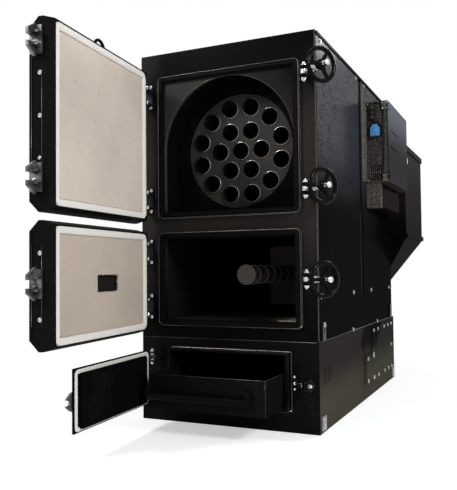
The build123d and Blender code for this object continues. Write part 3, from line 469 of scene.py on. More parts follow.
def islands(node):
    """Lowest and highest corner of each separate solid in a node, from the ground up."""
    obj = frame["nodes"][node]
    bm = bmesh.new()
    bm.from_mesh(obj.data)
    bm.transform(obj.matrix_world)
    bmesh.ops.remove_doubles(bm, verts=bm.verts, dist=1e-6)
    left, out = set(bm.verts), []
    while left:
        stack, pts = [left.pop()], []
        while stack:
            v = stack.pop()
            pts.append(v.co.copy())
            near = {e.other_vert(v) for e in v.link_edges} & left
            left -= near
            stack += near
        out.append(extent(pts))
    bm.free()
    return sorted(out, key=lambda b: tuple(round(c, 4) for c in (b[0].z, b[0].y, b[0].x)))


# Meshes

class Forge:
    """A mesh under construction, with its own material slots."""

    def __init__(self):
        self.bm = bmesh.new()
        self.mats = []

    def mat(self, name, faces, smooth=False):
        if name not in self.mats:
            self.mats.append(name)
        for f in faces:
            f.material_index = self.mats.index(name)
            f.smooth = smooth

    def skin(self, rings, mat, closed=False):
        """Join rings of points; an open run has its ends capped."""
        rings = [[self.bm.verts.new(p) for p in ring] for ring in rings]
        faces = []
        for p, q in zip(rings, rings[1:] + (rings[:1] if closed else [])):
            faces += [self.bm.faces.new([p[k - 1], p[k], q[k], q[k - 1]]) for k in range(len(p))]
        if not closed:
            faces += [self.bm.faces.new(rings[0][::-1]), self.bm.faces.new(rings[-1])]
        self.mat(mat, faces, True)

    def lathe(self, profile, place, mat, steps=32, closed=False):
        """Turn (radius, height) points about the place's Z axis."""
        rings = [[self.bm.verts.new(place @ Vector((r * math.cos(a), r * math.sin(a), h))) for r, h in profile]
                 for a in turns(steps)]
        runs = range(0 if closed else 1, len(profile))
        self.mat(mat, [self.bm.faces.new([p[i - 1], q[i - 1], q[i], p[i]])
                       for p, q in zip(rings, rings[1:] + rings[:1]) for i in runs], True)

    def soften(self, faces, edges, bevel):
        """Round some edges and give all the faces."""
        made = bmesh.ops.bevel(self.bm, geom=edges, offset=bevel, segments=2, affect="EDGES")["faces"]
        return [f for f in faces if f.is_valid] + made

    def slab(self, low, high, place, mat, bevel=0.0015):
        """A block between two corners with rounded edges."""
        got = bmesh.ops.create_cube(self.bm, size=1.0)["verts"]
        mid, size = (Vector(low) + Vector(high)) / 2, Vector(high) - Vector(low)
        for v in got:
            v.co = place @ (mid + Vector(v.co[i] * size[i] for i in range(3)))
        faces = {f for v in got for f in v.link_faces}
        if bevel:
            faces = self.soften(faces, list({e for v in got for e in v.link_edges}), min(bevel, min(size) * 0.45))
        self.mat(mat, faces)

    def sheet(self, outline, depth, place, mat, bevel):
        """A flat outline in X-Y, raised by depth along Z, its top edge bevelled."""
        low, high = [[self.bm.verts.new(place @ Vector((x, y, z))) for x, y in outline] for z in (0, depth)]
        faces = [self.bm.faces.new(low[::-1]), self.bm.faces.new(high)]
        faces += [self.bm.faces.new([low[i - 1], low[i], high[i], high[i - 1]]) for i in range(len(outline))]
        self.mat(mat, self.soften(faces, list(faces[1].edges), bevel))

    def pipe(self, points, radius, mat, steps=8, closed=False):
        """A round bar along a line of points."""
        n = len(points)
        rings, side = [], None
        for i, p in enumerate(points):
            ahead, behind = (points[(i + 1) % n], points[i - 1]) if closed else (
                points[min(i + 1, n - 1)], points[max(i - 1, 0)])
            run = (ahead - behind).normalized()
            side = run.orthogonal().normalized() if side is None else side
            side = (side - run * side.dot(run)).normalized()
            up = run.cross(side)
            rings.append([p + side * (radius * math.cos(a)) + up * (radius * math.sin(a)) for a in turns(steps)])
        self.skin(rings, mat, closed)

    def rods(self, lines, radius):
        """Thin metal lines along straight edges, standing in for edge highlights (painted highlights)."""
        for line in lines:
            self.pipe([Vector(p) for p in line], radius, "edge_gloss")

    def done(self, name, body, slot, *nodes):
        """Make the object, set it on its body and let it stand for any nodes given."""
        bmesh.ops.recalc_face_normals(self.bm, faces=self.bm.faces)
        mesh = bpy.data.meshes.new(name)
        self.bm.to_mesh(mesh)
        self.bm.free()
        for m in self.mats:
            mesh.materials.append(MATS[m])
        obj = bpy.data.objects.new(name, mesh)
        bpy.context.scene.collection.objects.link(obj)
        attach(obj, body)
        if nodes:
            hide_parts(*nodes)


def rounded_loop(x0, x1, z0, z1, r, step):
    """Points and outward directions round a rounded rectangle in X-Z."""
    out = []
    corners = ((x1 - r, z1 - r, 0), (x0 + r, z1 - r, 90), (x0 + r, z0 + r, 180), (x1 - r, z0 + r, 270))
    for k, (cx, cz, turn) in enumerate(corners):
        n = max(4, int(r * math.pi / 2 / step))
        for i in range(n + 1):
            a = math.radians(turn + 90 * i / n)
            way = Vector((math.cos(a), 0, math.sin(a)))
            out.append((Vector((cx + r * way.x, 0, cz + r * way.z)), way))
        nx, nz, _ = corners[(k + 1) % 4]
        start, end = out[-1][0], Vector((nx + r * way.x, 0, nz + r * way.z))
        n = max(2, int((end - start).length / step))
        out += [(start.lerp(end, i / n), way) for i in range(1, n)]
    return out


def arch_line(x0, x1, z0, z1, y, steps=40):
    """Points up one side of an arched opening, over its head and down the other."""
    r = (x1 - x0) / 2
    mid, spring = (x0 + x1) / 2, z1 - r
    head = [Vector((mid - r * math.cos(math.pi * i / steps), y, spring + r * math.sin(math.pi * i / steps)))
            for i in range(steps + 1)]
    return [Vector((x0, y, z0))] + head + [Vector((x1, y, z0))]


# Shapes stamped on points by geometry nodes

GRAPHS = {}
POINT_DATA = {"aim": ("FLOAT_VECTOR", "vector"), "size": ("FLOAT", "value")}


class Graph(Nodes):
    """A geometry node group with named inputs, kept in GRAPHS."""

    def __init__(self, name):
        super().__init__(bpy.data.node_groups.new(name, "GeometryNodeTree"))
        for way in ("INPUT", "OUTPUT"):
            self.tree.interface.new_socket("Geometry", in_out=way, socket_type="NodeSocketGeometry")
        self.into = self.tree.nodes.new("NodeGroupInput")
        self.out = self.tree.nodes.new("NodeGroupOutput")
        self.names = {}
        GRAPHS[name] = self

    def ask(self, name, kind, default):
        """Add a named input and give its socket."""
        s = self.tree.interface.new_socket(name, in_out="INPUT", socket_type="NodeSocket" + kind)
        s.default_value = default
        self.names[name] = s.identifier
        return Sock(self, next(o for o in self.into.outputs if o.identifier == s.identifier))

    def cone(self, fill, sides, r_low, r_high, height):
        return self.node("GeometryNodeMeshCone", {"Vertices": sides, "Radius Top": r_high, "Radius Bottom": r_low,
                                                  "Depth": height}, fill_type=fill)

    def stamp(self, shape, spin=0.0, width=None):
        """Put the shape on every point, turned to its aim and scaled by its size, in one material.

        A width is the scale across the aim, which leaves the size to the length.
        """
        aim, size = [self.node("GeometryNodeInputNamedAttribute", {"Name": name}, data_type=kind)
                     for name, (kind, _) in POINT_DATA.items()]
        if width:
            size = self.node("ShaderNodeCombineXYZ", {"X": width, "Y": width, "Z": size})
        face = self.node("FunctionNodeAlignRotationToVector", {"Vector": aim}, axis="Z")
        around = self.node("FunctionNodeAxisAngleToRotation", {"Axis": (0, 0, 1), "Angle": spin})
        turn = self.node("FunctionNodeRotateRotation", {0: face, 1: around}, rotation_space="LOCAL")
        put = self.node("GeometryNodeInstanceOnPoints", {"Points": self.into.outputs[0], "Instance": shape,
                                                         "Rotation": turn, "Scale": size})
        real = self.node("GeometryNodeRealizeInstances", {"Geometry": put})
        mat = self.ask("Material", "Material", None)
        self.put(self.out.inputs[0], self.node("GeometryNodeSetMaterial", {"Geometry": real, "Material": mat}))


def fixing_graph():
    """Hex or round head on a washer, with a stub of thread. Heights and radii go by the head's radius."""
    g = Graph("fixing")
    sides = g.ask("Sides", "Int", 6)
    head = g.ask("Head height", "Float", 0.7)
    washer = g.ask("Washer radius", "Float", 1.35)
    stub = g.ask("Stub height", "Float", 0.0)
    seed = g.ask("Seed", "Int", 3)
    thick = 0.16

    def drum(n, r_low, r_high, z, h):
        cone = g.cone("NGON", n, r_low, r_high, h)
        off = g.node("ShaderNodeCombineXYZ", {"Z": z})
        return g.node("GeometryNodeTransform", {"Geometry": cone, "Translation": off})

    rim = head * 0.18
    body = head - rim
    shapes = [drum(28, washer, washer, 0.0, thick), drum(sides, 1.0, 1.0, thick, body),
              drum(sides, 1.0, 0.84, body + thick, rim), drum(18, 0.56, 0.5, head + thick, stub)]
    join = g.tree.nodes.new("GeometryNodeJoinGeometry")
    for s in reversed(shapes):
        g.put(join.inputs[0], s)
    g.stamp(join.outputs[0], g.node("FunctionNodeRandomValue", {"Seed": seed, 3: 6.28}, out=1, data_type="FLOAT"))


def ring_graph():
    """A torus, for weld rings."""
    g = Graph("ring")
    loop, cut = [g.node("GeometryNodeCurvePrimitiveCircle", {"Resolution": n, "Radius": g.ask(name, "Float", r)})
                 for name, n, r in (("Radius", 36, 0.04), ("Thickness", 8, 0.002))]
    g.stamp(g.node("GeometryNodeCurveToMesh", {0: loop, 1: cut}))


def fibre_graph():
    """A thin tapered fibre, for frayed rope."""
    g = Graph("fibre")
    g.stamp(g.cone("NONE", 4, 1.0, 0.1, 1.0), width=g.ask("Radius", "Float", 0.0003))


def bead_graph():
    """A flattened ball, for overlapping weld ripples."""
    g = Graph("bead")
    ball = g.node("GeometryNodeMeshUVSphere", {"Segments": 8, "Rings": 5, "Radius": 1.0})
    squash = g.node("ShaderNodeCombineXYZ", {"X": 1.0, "Y": 1.0, "Z": g.ask("Flatness", "Float", 0.75)})
    g.stamp(g.node("GeometryNodeTransform", {"Geometry": ball, "Scale": squash}))


def spot(x, y, z, aim, size):
    return Vector((x, y, z)), aim, size


def run_graph(graph, name, body, mat, spots, values):
    """Stamp spots of (point, aim, size), the result kept as a plain mesh riding on one body."""
    graph = GRAPHS[graph]
    mesh = bpy.data.meshes.new(name)
    mesh.from_pydata([s[0] for s in spots], [], [])
    for k, (key, (kind, field)) in enumerate(POINT_DATA.items(), 1):
        data = mesh.attributes.new(key, kind, "POINT").data
        for i, spot in enumerate(spots):
            setattr(data[i], field, spot[k])
    obj = bpy.data.objects.new(name, mesh)
    bpy.context.scene.collection.objects.link(obj)
    mod = obj.modifiers.new("graph", "NODES")
    mod.node_group = graph.tree
    for key, val in {"Material": MATS[mat], **values}.items():
        mod[graph.names[key]] = val
    bpy.context.view_layer.update()
    made = bpy.data.meshes.new_from_object(obj.evaluated_get(bpy.context.evaluated_depsgraph_get()))
    obj.modifiers.remove(mod)
    obj.data = made
    made.name = name
    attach(obj, body)


def fixings(name, body, spots, head, washer, sides=6, stub=0.0):
    run_graph("fixing", name, body, "bright_steel", spots,
              {"Sides": sides, "Head height": head, "Washer radius": washer, "Stub height": stub, "Seed": 3})


def frayed(name, body, spots, radius):
    run_graph("fibre", name, body, "rope", spots, {"Radius": radius})


def rope_ring(door, place, low, high, wide, y0, y1, fray):
    """Braided rope laid round a door inside the corners low and high, between two depths."""
    name, f = door + "_seal", Forge()
    loop = rounded_loop(low.x + wide / 2, high.x - wide / 2, low.z + wide / 2, high.z - wide / 2, wide * 0.6, 0.005)
    rings, spots = [], []
    rng = random.Random(len(name))
    mid, deep = (y0 + y1) / 2, (y1 - y0) / 2
    square = 0.55  # power that squares the rope's round section
    for i, (p, out) in enumerate(loop):
        ring = []
        rough = 0.0016 * (noise.noise(p * 90) + 0.6 * noise.noise(p * 260))
        for k, a in enumerate(turns(20)):
            c, s = [math.copysign(abs(v) ** square, v) for v in (math.cos(a), math.sin(a))]
            plait = 0.0005 * math.sin(i * 1.35 + (3 * a if i % 2 else -3 * a))
            side = wide / 2 - 0.0012 + rough * (1 if k % 2 else 0.4) + plait
            depth = mid + (deep - 0.0004 + plait * 0.5) * s
            ring.append(place @ (Vector((p.x, depth, p.z)) + out * side * c))
        rings.append(ring)
        for _ in range(fray):
            way = rng.choice((-1, 1))
            at = p + out * (way * (wide / 2 - 0.0015)) + Vector((0, y1 - 0.001 - rng.random() * 0.004, 0))
            aim = out * way * (0.5 + rng.random())
            aim += Vector((rng.uniform(-1, 1), rng.uniform(-0.25, 0.15), rng.uniform(-1, 1)))
            spots.append((place @ at, place.to_3x3() @ aim.normalized(), rng.uniform(0.0012, 0.0034)))
    f.skin(rings, "rope", True)
    f.done(name, door, "rope", door + "_rope")
    if spots:
        frayed(name + "_fray", door, spots, 0.00035)


def bead_line(points, radius, pitch, closed=False):
    """Spots for weld ripples along a line."""
    rng = random.Random(len(points))
    spots = []
    for p, q in zip(points, points[1:] + (points[:1] if closed else [])):
        run = q - p
        n = max(1, round(run.length / pitch))
        for i in range(n):
            off = Vector([rng.uniform(-0.15, 0.15) * radius for _ in range(3)])
            spots.append((p + run * (i / n) + off, run.normalized(), radius * rng.uniform(0.8, 1.15)))
    return spots


def handwheel(prefix):
    """Moulded three-spoke wheel with a plated sleeve, in place of the plain one."""
    place = pivoted(prefix)
    low, high = local_box(prefix + "_handwheel", place)
    turn = place @ MOVE((low.x + 0.024, 0, 0)) @ FACE_RIGHT
    thick, hub = bpy.context.scene.boiler_trim.wheel_rim, 0.018
    f = Forge()
    f.lathe([(high.z - thick + thick * math.cos(a), 0.0088 * math.sin(a)) for a in turns(16)],
            turn, "black_plastic", 72, closed=True)
    f.lathe([(0.0093, -0.0238), (0.0135, -0.0238), (0.0185, -0.016), (0.0195, -0.008), (0.0225, -0.004),
             (0.0235, 0.002), (0.0205, 0.006), (0.0165, 0.0095), (0.0122, 0.0098), (0.0093, 0.0098)],
            turn, "black_plastic", 40)
    inner = high.z - 2 * thick + 0.002
    line = [(hub + (inner - hub) * t, 0.0085 - 0.0025 * t + 0.006 * abs(2 * t - 1) ** 5)
            for t in [i / 12 for i in range(13)]]
    for k in range(3):
        arm = turn @ Matrix.Rotation(math.radians(30 + 120 * k), 4, "Z") @ MOVE((0, 0, -0.004))
        f.sheet(line + [(r, -h) for r, h in reversed(line)], 0.008, arm, "black_plastic", 0.0016)
    f.lathe([(0.0096, 0.0095), (0.0120, 0.0095), (0.0126, 0.0115), (0.0126, 0.041), (0.0112, 0.0435), (TIP, 0.0435)],
            turn, "bright_steel", 32)
    f.done(prefix + "_wheel_moulding", prefix + "_wheel", "black_plastic", prefix + "_handwheel")


def threads(prefix, radius):
    """Screw thread along a swing bolt. Gives the bolt's frame."""
    start, pitch, root = 0.03, 0.002, radius - 0.0005
    place = pivoted(prefix)
    end = local_box(prefix + "_clamp_rod", place)[1].x - 0.002
    f = Forge()
    line = []
    x = start
    while x < end:
        line += [(radius + 0.0001, x), (radius + 0.0008, x + pitch / 2)]
        x += pitch
    f.lathe([(root, start)] + line + [(root, x)], place @ FACE_RIGHT, "bright_steel", 24)
    f.done(prefix + "_thread", prefix + "_clamp", "bright_steel")
    return place


# The add-on

class BOILER_OT_seals(bpy.types.Operator):
    """Rope seals of the three doors"""
    bl_idname = "boiler.seals"
    bl_label = "Seals"

    def execute(self, context):
        trim = context.scene.boiler_trim
        for make in (fixing_graph, ring_graph, fibre_graph, bead_graph):
            make()
        for door in ("upper_door", "furnace_door"):
            place, low, high = shell(door)
            rope = local_box(door + "_rope", place)
            rise = (high.z - low.z) / 2 - (rope[1].z - rope[0].z) / 2 - 0.007
            edge = Vector((0.0006, 0, rise + 0.0006))
            rope_ring(door, place, low + edge, high - edge, trim.rope, rope[0].y, high.y + 0.0008, 3)
        self.sight_hole(place)
        place = hung("ash_door_hinge")
        low, high = local_box("ash_door_rope", place)
        rope_ring("ash_door", place, low, high, trim.ash_rope, low.y, high.y, trim.rope_fray)
        return {"FINISHED"}

    def sight_hole(self, place):
        """Charred skin, red wool and frayed edge of the furnace door's sight hole."""
        low, high = local_box("furnace_door_lining", place)
        face, back, skin, gap = high.y, high.y - 0.0197, 0.0012, 0.004
        x0, x1 = low.x + 0.2582, low.x + 0.4232
        mid = (low.z + high.z) / 2
        z0, z1 = mid - 0.036, mid + 0.036
        f = Forge()
        f.slab((x0 + skin, back, z0 + skin), (x1 - skin, back + skin, z1 - skin), place, "char", 0.0)
        f.slab((x0 + gap, back, z1 - skin - 0.0004), (x1 - gap, face - 0.001, z1 - 0.0004), place, "char", 0.0)
        f.slab((x0 + 0.0004, back, z0 + gap), (x0 + skin + 0.0004, face - 0.001, z1 - gap), place, "char", 0.0)
        f.slab((x1 - 0.012, back + skin, z0 + gap), (x1 - 0.002, back + 0.010, z1 - gap), place, "red_wool", 0.002)
        f.done("sight_hole_lining", "furnace_door", "lining")
        rng = random.Random(8)
        chips = []
        for _ in range(260):
            side = rng.random()
            x = x0 + 0.001 if side < 0.55 else rng.uniform(x0, x1)
            z = rng.uniform(z0, z1) if side < 0.55 else (z0 + 0.001 if side < 0.8 else z1 - 0.001)
            aim = Vector((rng.uniform(-0.6, 1), rng.uniform(-0.5, 0.25), rng.uniform(-1, 1))).normalized()
            at = place @ Vector((x, face - rng.random() * 0.004 - 0.0008, z))
            chips.append((at, place.to_3x3() @ aim, rng.uniform(0.002, 0.006)))
        frayed("sight_hole_fray", "furnace_door", chips, 0.0006)


class BOILER_OT_catches(bpy.types.Operator):
    """Catches and hinge arms of the upper door, its lifting eye set over the door's balance point"""
    bl_idname = "boiler.catches"
    bl_label = "Catches"

    def execute(self, context):
        trim = context.scene.boiler_trim
        place, _, high = shell("upper_door")
        top = high.z
        obj = frame["nodes"]["upper_door_irons"]
        f = Forge()
        f.bm.from_mesh(obj.data)
        f.bm.transform(obj.matrix_world)
        bmesh.ops.delete(f.bm, geom=[v for v in f.bm.verts if v.co.z > top - 0.0005], context="VERTS")
        f.mat("cast_iron", f.bm.faces)
        ring, balance = trim.eye_ring, 0.374
        arc = [Vector((balance + ring * math.cos(a), 0.003, top + ring * math.sin(a)))
               for a in [math.pi * k / 24 for k in range(25)]]
        f.pipe([place @ p for p in arc], trim.eye_bar, "black_paint", 14)
        foot = [(TIP, 0.0003), (0.0115, 0.0003), (0.0095, 0.0035), (0.0066, 0.0048)]
        for p in (arc[0], arc[-1]):
            f.lathe(foot, place @ MOVE(p), "weld", 20)
        f.done("upper_door_catches", "upper_door", "bright_steel", "upper_door_irons")
        return {"FINISHED"}


class BOILER_OT_wheels(bpy.types.Operator):
    """Hand wheels, ash knob and screw threads"""
    bl_idname = "boiler.wheels"
    bl_label = "Wheels"

    def execute(self, context):
        for prefix in ("top", "middle", "furnace"):
            handwheel(prefix)
            place = threads(prefix, 0.009)
            spots = [(place @ Vector((x, 0, 0)), place.to_3x3() @ RIGHT, 0.0125) for x in (0.058, 0.083)]
            fixings(prefix + "_lock_nuts", prefix + "_clamp", spots, 0.75, 1.15)
        place = threads("ash", 0.006)
        high = local_box("ash_knob", place)[1]
        turn = place @ MOVE((high.x - 0.024, 0, 0)) @ FACE_RIGHT
        f = Forge()
        rings = []
        for h, s in ((0.0, 0.84), (0.003, 0.95), (0.008, 1.0), (0.016, 1.0), (0.021, 0.93), (0.024, 0.8)):
            lobes = [(a, (high.z * 0.9 + high.z * 0.1 * math.cos(5 * (a - math.pi / 2))) * s) for a in turns(60)]
            rings.append([turn @ Vector((r * math.cos(a), r * math.sin(a), h)) for a, r in lobes])
        f.skin(rings, "black_plastic")
        for steps, profile in ((28, ((0.0061, -0.015), (0.0125, -0.015), (0.0135, -0.006), (0.0135, 0.001))),
                               (24, ((TIP, 0.0245), (0.007, 0.0245), (0.0078, 0.0235), (0.0078, 0.0225)))):
            f.lathe(profile, turn, "bright_steel", steps)
        f.done("ash_knob_moulding", "ash_wheel", "black_plastic", "ash_knob")
        return {"FINISHED"}


class BOILER_OT_welds(bpy.types.Operator):
    """Weld beads round frames, corners and tube ends"""
    bl_idname = "boiler.welds"
    bl_label = "Welds"

    def execute(self, context):
        trim = context.scene.boiler_trim
        bead, pitch, thin = trim.bead, trim.bead_pitch, trim.edge_line
        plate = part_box("front_plate")
        face, seam = plate[0].y, plate[0].z
        x0, x1 = plate[0].x, plate[1].x
        lines, spots = Forge(), []
        # the edge_gloss lines round the frames are thin metal lines that stand in for edge highlights (painted
        # highlights); worn is the corner radius of such a line
        for node, corner, worn in (("upper_frame", 0.024, 0.022), ("furnace_frame", 0.024, 0.022),
                                   ("ash_collar", 0.004, 0.003)):
            low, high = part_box(node)
            loop = rounded_loop(low.x, high.x, low.z, high.z, corner, 0.02)
            spots += bead_line([Vector((p.x, face, p.z)) for p, _ in loop], bead, pitch, True)
            loop = rounded_loop(low.x + thin, high.x - thin, low.z + thin, high.z - thin, worn, 0.01)
            lines.pipe([Vector((p.x, low.y + thin, p.z)) for p, _ in loop], thin * 1.1, "edge_gloss", closed=True)
            if node != "ash_collar":
                edge = low.y + bead + 0.0012
                spots += bead_line([Vector((high.x + 0.0006, edge, z)) for z in (low.z + 0.03, high.z - 0.03)],
                                   bead * 0.8, pitch * 1.1)
                spots += [spot(low.x + (high.x - low.x) * t, edge, low.z - 0.0008, RIGHT, bead)
                          for t in (0.25, 0.42, 0.55, 0.68, 0.8)]
        for x in (x0 + 0.0015, x1 - 0.0015):
            spots += bead_line([Vector((x, face + 0.001, z)) for z in (seam + 0.004, plate[1].z - 0.004)],
                               bead * 0.7, pitch * 0.7)
        run_graph("bead", "weld_beads", "boiler", "weld", spots, {"Flatness": 0.75})
        self.tube_rings(trim.tube_ring)

        low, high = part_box("upper_frame")
        bar = 0.027
        # painted highlights: thin metal lines along the arch and the seams stand in for their edge highlights
        lines.pipe(arch_line(low.x + bar, high.x - bar, low.z + bar, high.z - bar, face), thin, "edge_gloss")
        lines.rods([[(x, face + 0.0004, seam - 0.0005) for x in (x0 + 0.01, x1 - 0.01)]], thin)
        lines.rods([[(x, y, seam + 0.001) for y in (face + 0.02, -face - 0.05)] for x in (-x1, x1)], thin)
        lines.done("edge_lines", "boiler", "black_paint")

        # painted highlights: thin metal lines on the ash pan's rim stand in for its edge highlights
        low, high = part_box("ash_pan")
        x0, x1, lip = low.x + 0.001, high.x - 0.001, low.y + 0.041
        f = Forge()
        f.rods([[(x0, high.y, high.z), (x0, lip, high.z), (x1, lip, high.z), (x1, high.y, high.z)],
                [(x1, lip, low.z + 0.002), (x1, lip, high.z)]], thin)
        f.done("pan_edges", "ash_pan", "black_paint")

        low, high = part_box("grate")
        x0, x1, y, z = high.x - 0.096, high.x - 0.006, low.y, high.z
        f = Forge()
        f.slab((x0, y + 0.004, z + 0.0002), (x1, y + 0.012, z + 0.0062), HERE, "pale_edge", 0.001)
        f.slab((x0 + 0.012, y + 0.012, z + 0.0002), (x1, y + 0.19, z + 0.0045), HERE, "grate_iron", 0.0008)
        # painted shade: three thin dark discs stand in for the shade inside the plate's holes
        for k in range(3):
            f.lathe([(TIP, 0.0), (0.0062, 0.0), (0.0062, 0.0004), (TIP, 0.0004)],
                    MOVE((x0 + 0.034 + 0.022 * k, y + 0.045, z + 0.0047)), "smoke_black", 20)
        f.done("grate_edge_plate", "boiler", "cast_grate")
        return {"FINISHED"}

    def tube_rings(self, thick):
        """Welds round the tubes' ends and round the sheet that holds them."""
        low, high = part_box("tube_sheets")
        tubes = islands("fire_tubes")
        ends = [spot((a.x + b.x) / 2, low.y, (a.z + b.z) / 2, OUT, 1.0) for a, b in tubes]
        middle = [spot((low.x + high.x) / 2, low.y + 0.001, (low.z + high.z) / 2, OUT, 1.0)]
        bore = (tubes[0][1].x - tubes[0][0].x) / 2
        for name, mat, spots, radius, thickness in (
            ("tube_welds", "tube_weld", ends, bore + 0.0012, thick),
            ("sheet_weld", "tube_plate", middle, (high.x - low.x) / 2 - 0.002, 0.0026),
        ):
            run_graph("ring", name, "boiler", mat, spots, {"Radius": radius, "Thickness": thickness})


class BOILER_OT_fixings(bpy.types.Operator):
    """Nuts, bolts and screws"""
    bl_idname = "boiler.fixings"
    bl_label = "Fixings"

    def execute(self, context):
        self.hinges()
        self.panels()
        for door, inset, heights in (("upper_door", 0.115, (0.711, 0.491, 0.273)),
                                     ("furnace_door", 0.09, (0.749, 0.243))):
            place, low, high = shell(door)
            rows = [(place @ Vector((high.x - 0.003, -0.006, low.z + (high.z - low.z) * t)),
                     place.to_3x3() @ RIGHT, 0.0062) for t in heights]
            fixings(door + "_edge_bolts", door, rows, 0.7, 1.35)
            z0, z1, y0, y1 = low.z + inset, high.z - inset, -0.040, 0.004
            corners = [place @ Vector((high.x, y, z)) for y, z in ((y0, z0), (y1, z0), (y1, z1), (y0, z1))]
            # painted highlight: a thin metal line round the pocket's rim stands in for its edge highlight
            f = Forge()
            f.pipe(corners, 0.0010, "edge_gloss", closed=True)
            f.done(door + "_pocket_edge", door, "black_paint")
        return {"FINISHED"}

    def hinges(self):
        """Nuts on the ends of the hinge and clamp pins, and the screws of the door lugs."""
        big, small = [], []
        for low, high in islands("hinge_lugs"):
            mid = (low + high) / 2
            tall = high.z - low.z > 0.1
            inset, reach, size = (0.015, 0.040, 0.0112) if tall else (0.012, 0.025, 0.0082)
            pin = Vector((mid.x, low.y + inset, mid.z))
            big += [(pin + UP * s * reach, UP * s, size) for s in (-1, 1)]
            if tall:
                big += [spot(high.x - 0.0003, low.y + 0.036, mid.z + s * 0.034, RIGHT, 0.0098) for s in (-1, 1)]
                small += [spot(x, high.y - 0.008, mid.z + s * 0.050, OUT, 0.0058)
                          for s in (-1, 1) for x in (low.x + 0.009, high.x - 0.009)]
        for low, high in islands("clamp_lugs"):
            half = (high.x - low.x) / 2
            size = 0.0106 if half > 0.014 else 0.0066
            big += [spot(low.x + half, low.y + half, z, UP * s, size) for z, s in ((high.z, 1), (low.z, -1))]
        fixings("hinge_nuts", "boiler", big, 0.8, 1.3, stub=0.45)
        fixings("hinge_screws", "boiler", small, 0.6, 1.25)

    def panels(self):
        """Screws of the side panels, base covers and body brackets."""
        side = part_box("side_panels")[1].x
        screws = []
        for low, high in [b for b in islands("side_panels") if b[1].x > 0.4]:
            wide = high.y - low.y
            if low.z < 0.5:
                rows = ((low.z + 0.007, (0.36, 0.72)),)
            else:
                foot = (0.22, 0.88) if low.y > 0 else (0.03, 0.77)
                rows = ((low.z + 0.011, foot), (high.z - 0.014, (0.08, 0.92)))
            screws += [(side, low.y + wide * t, z) for z, spots in rows for t in spots]
        (a, b), (c, d) = sorted(islands("base_covers"), key=lambda box: box[1].x)
        for z in (a.z + 0.022, b.z - 0.016):
            screws += [(b.x, a.y + t, z) for t in (0.034, 0.147, 0.321, 0.434, b.y - a.y - 0.015)]
        screws += [(b.x, y, 0.223) for y in (a.y + 0.022, b.y - 0.015)]
        screws += [(d.x - 0.0002, y, z) for y in (c.y + 0.014, d.y - 0.014) for z in (c.z + 0.014, d.z - 0.014)]
        screws += [(high.x, (low.y + high.y) / 2, high.z - 0.012 if low.z > 0.2 else low.z + 0.014)
                   for low, high in islands("body_brackets") if low.x > 0]
        size = 0.0076
        spots = [spot(*p, RIGHT, size) for p in screws]
        spots += [spot(-p.x, p.y, p.z, -RIGHT, size) for p, _, _ in spots if p.x < side + 0.0005]
        fixings("panel_screws", "boiler", spots, 0.62, 1.3)


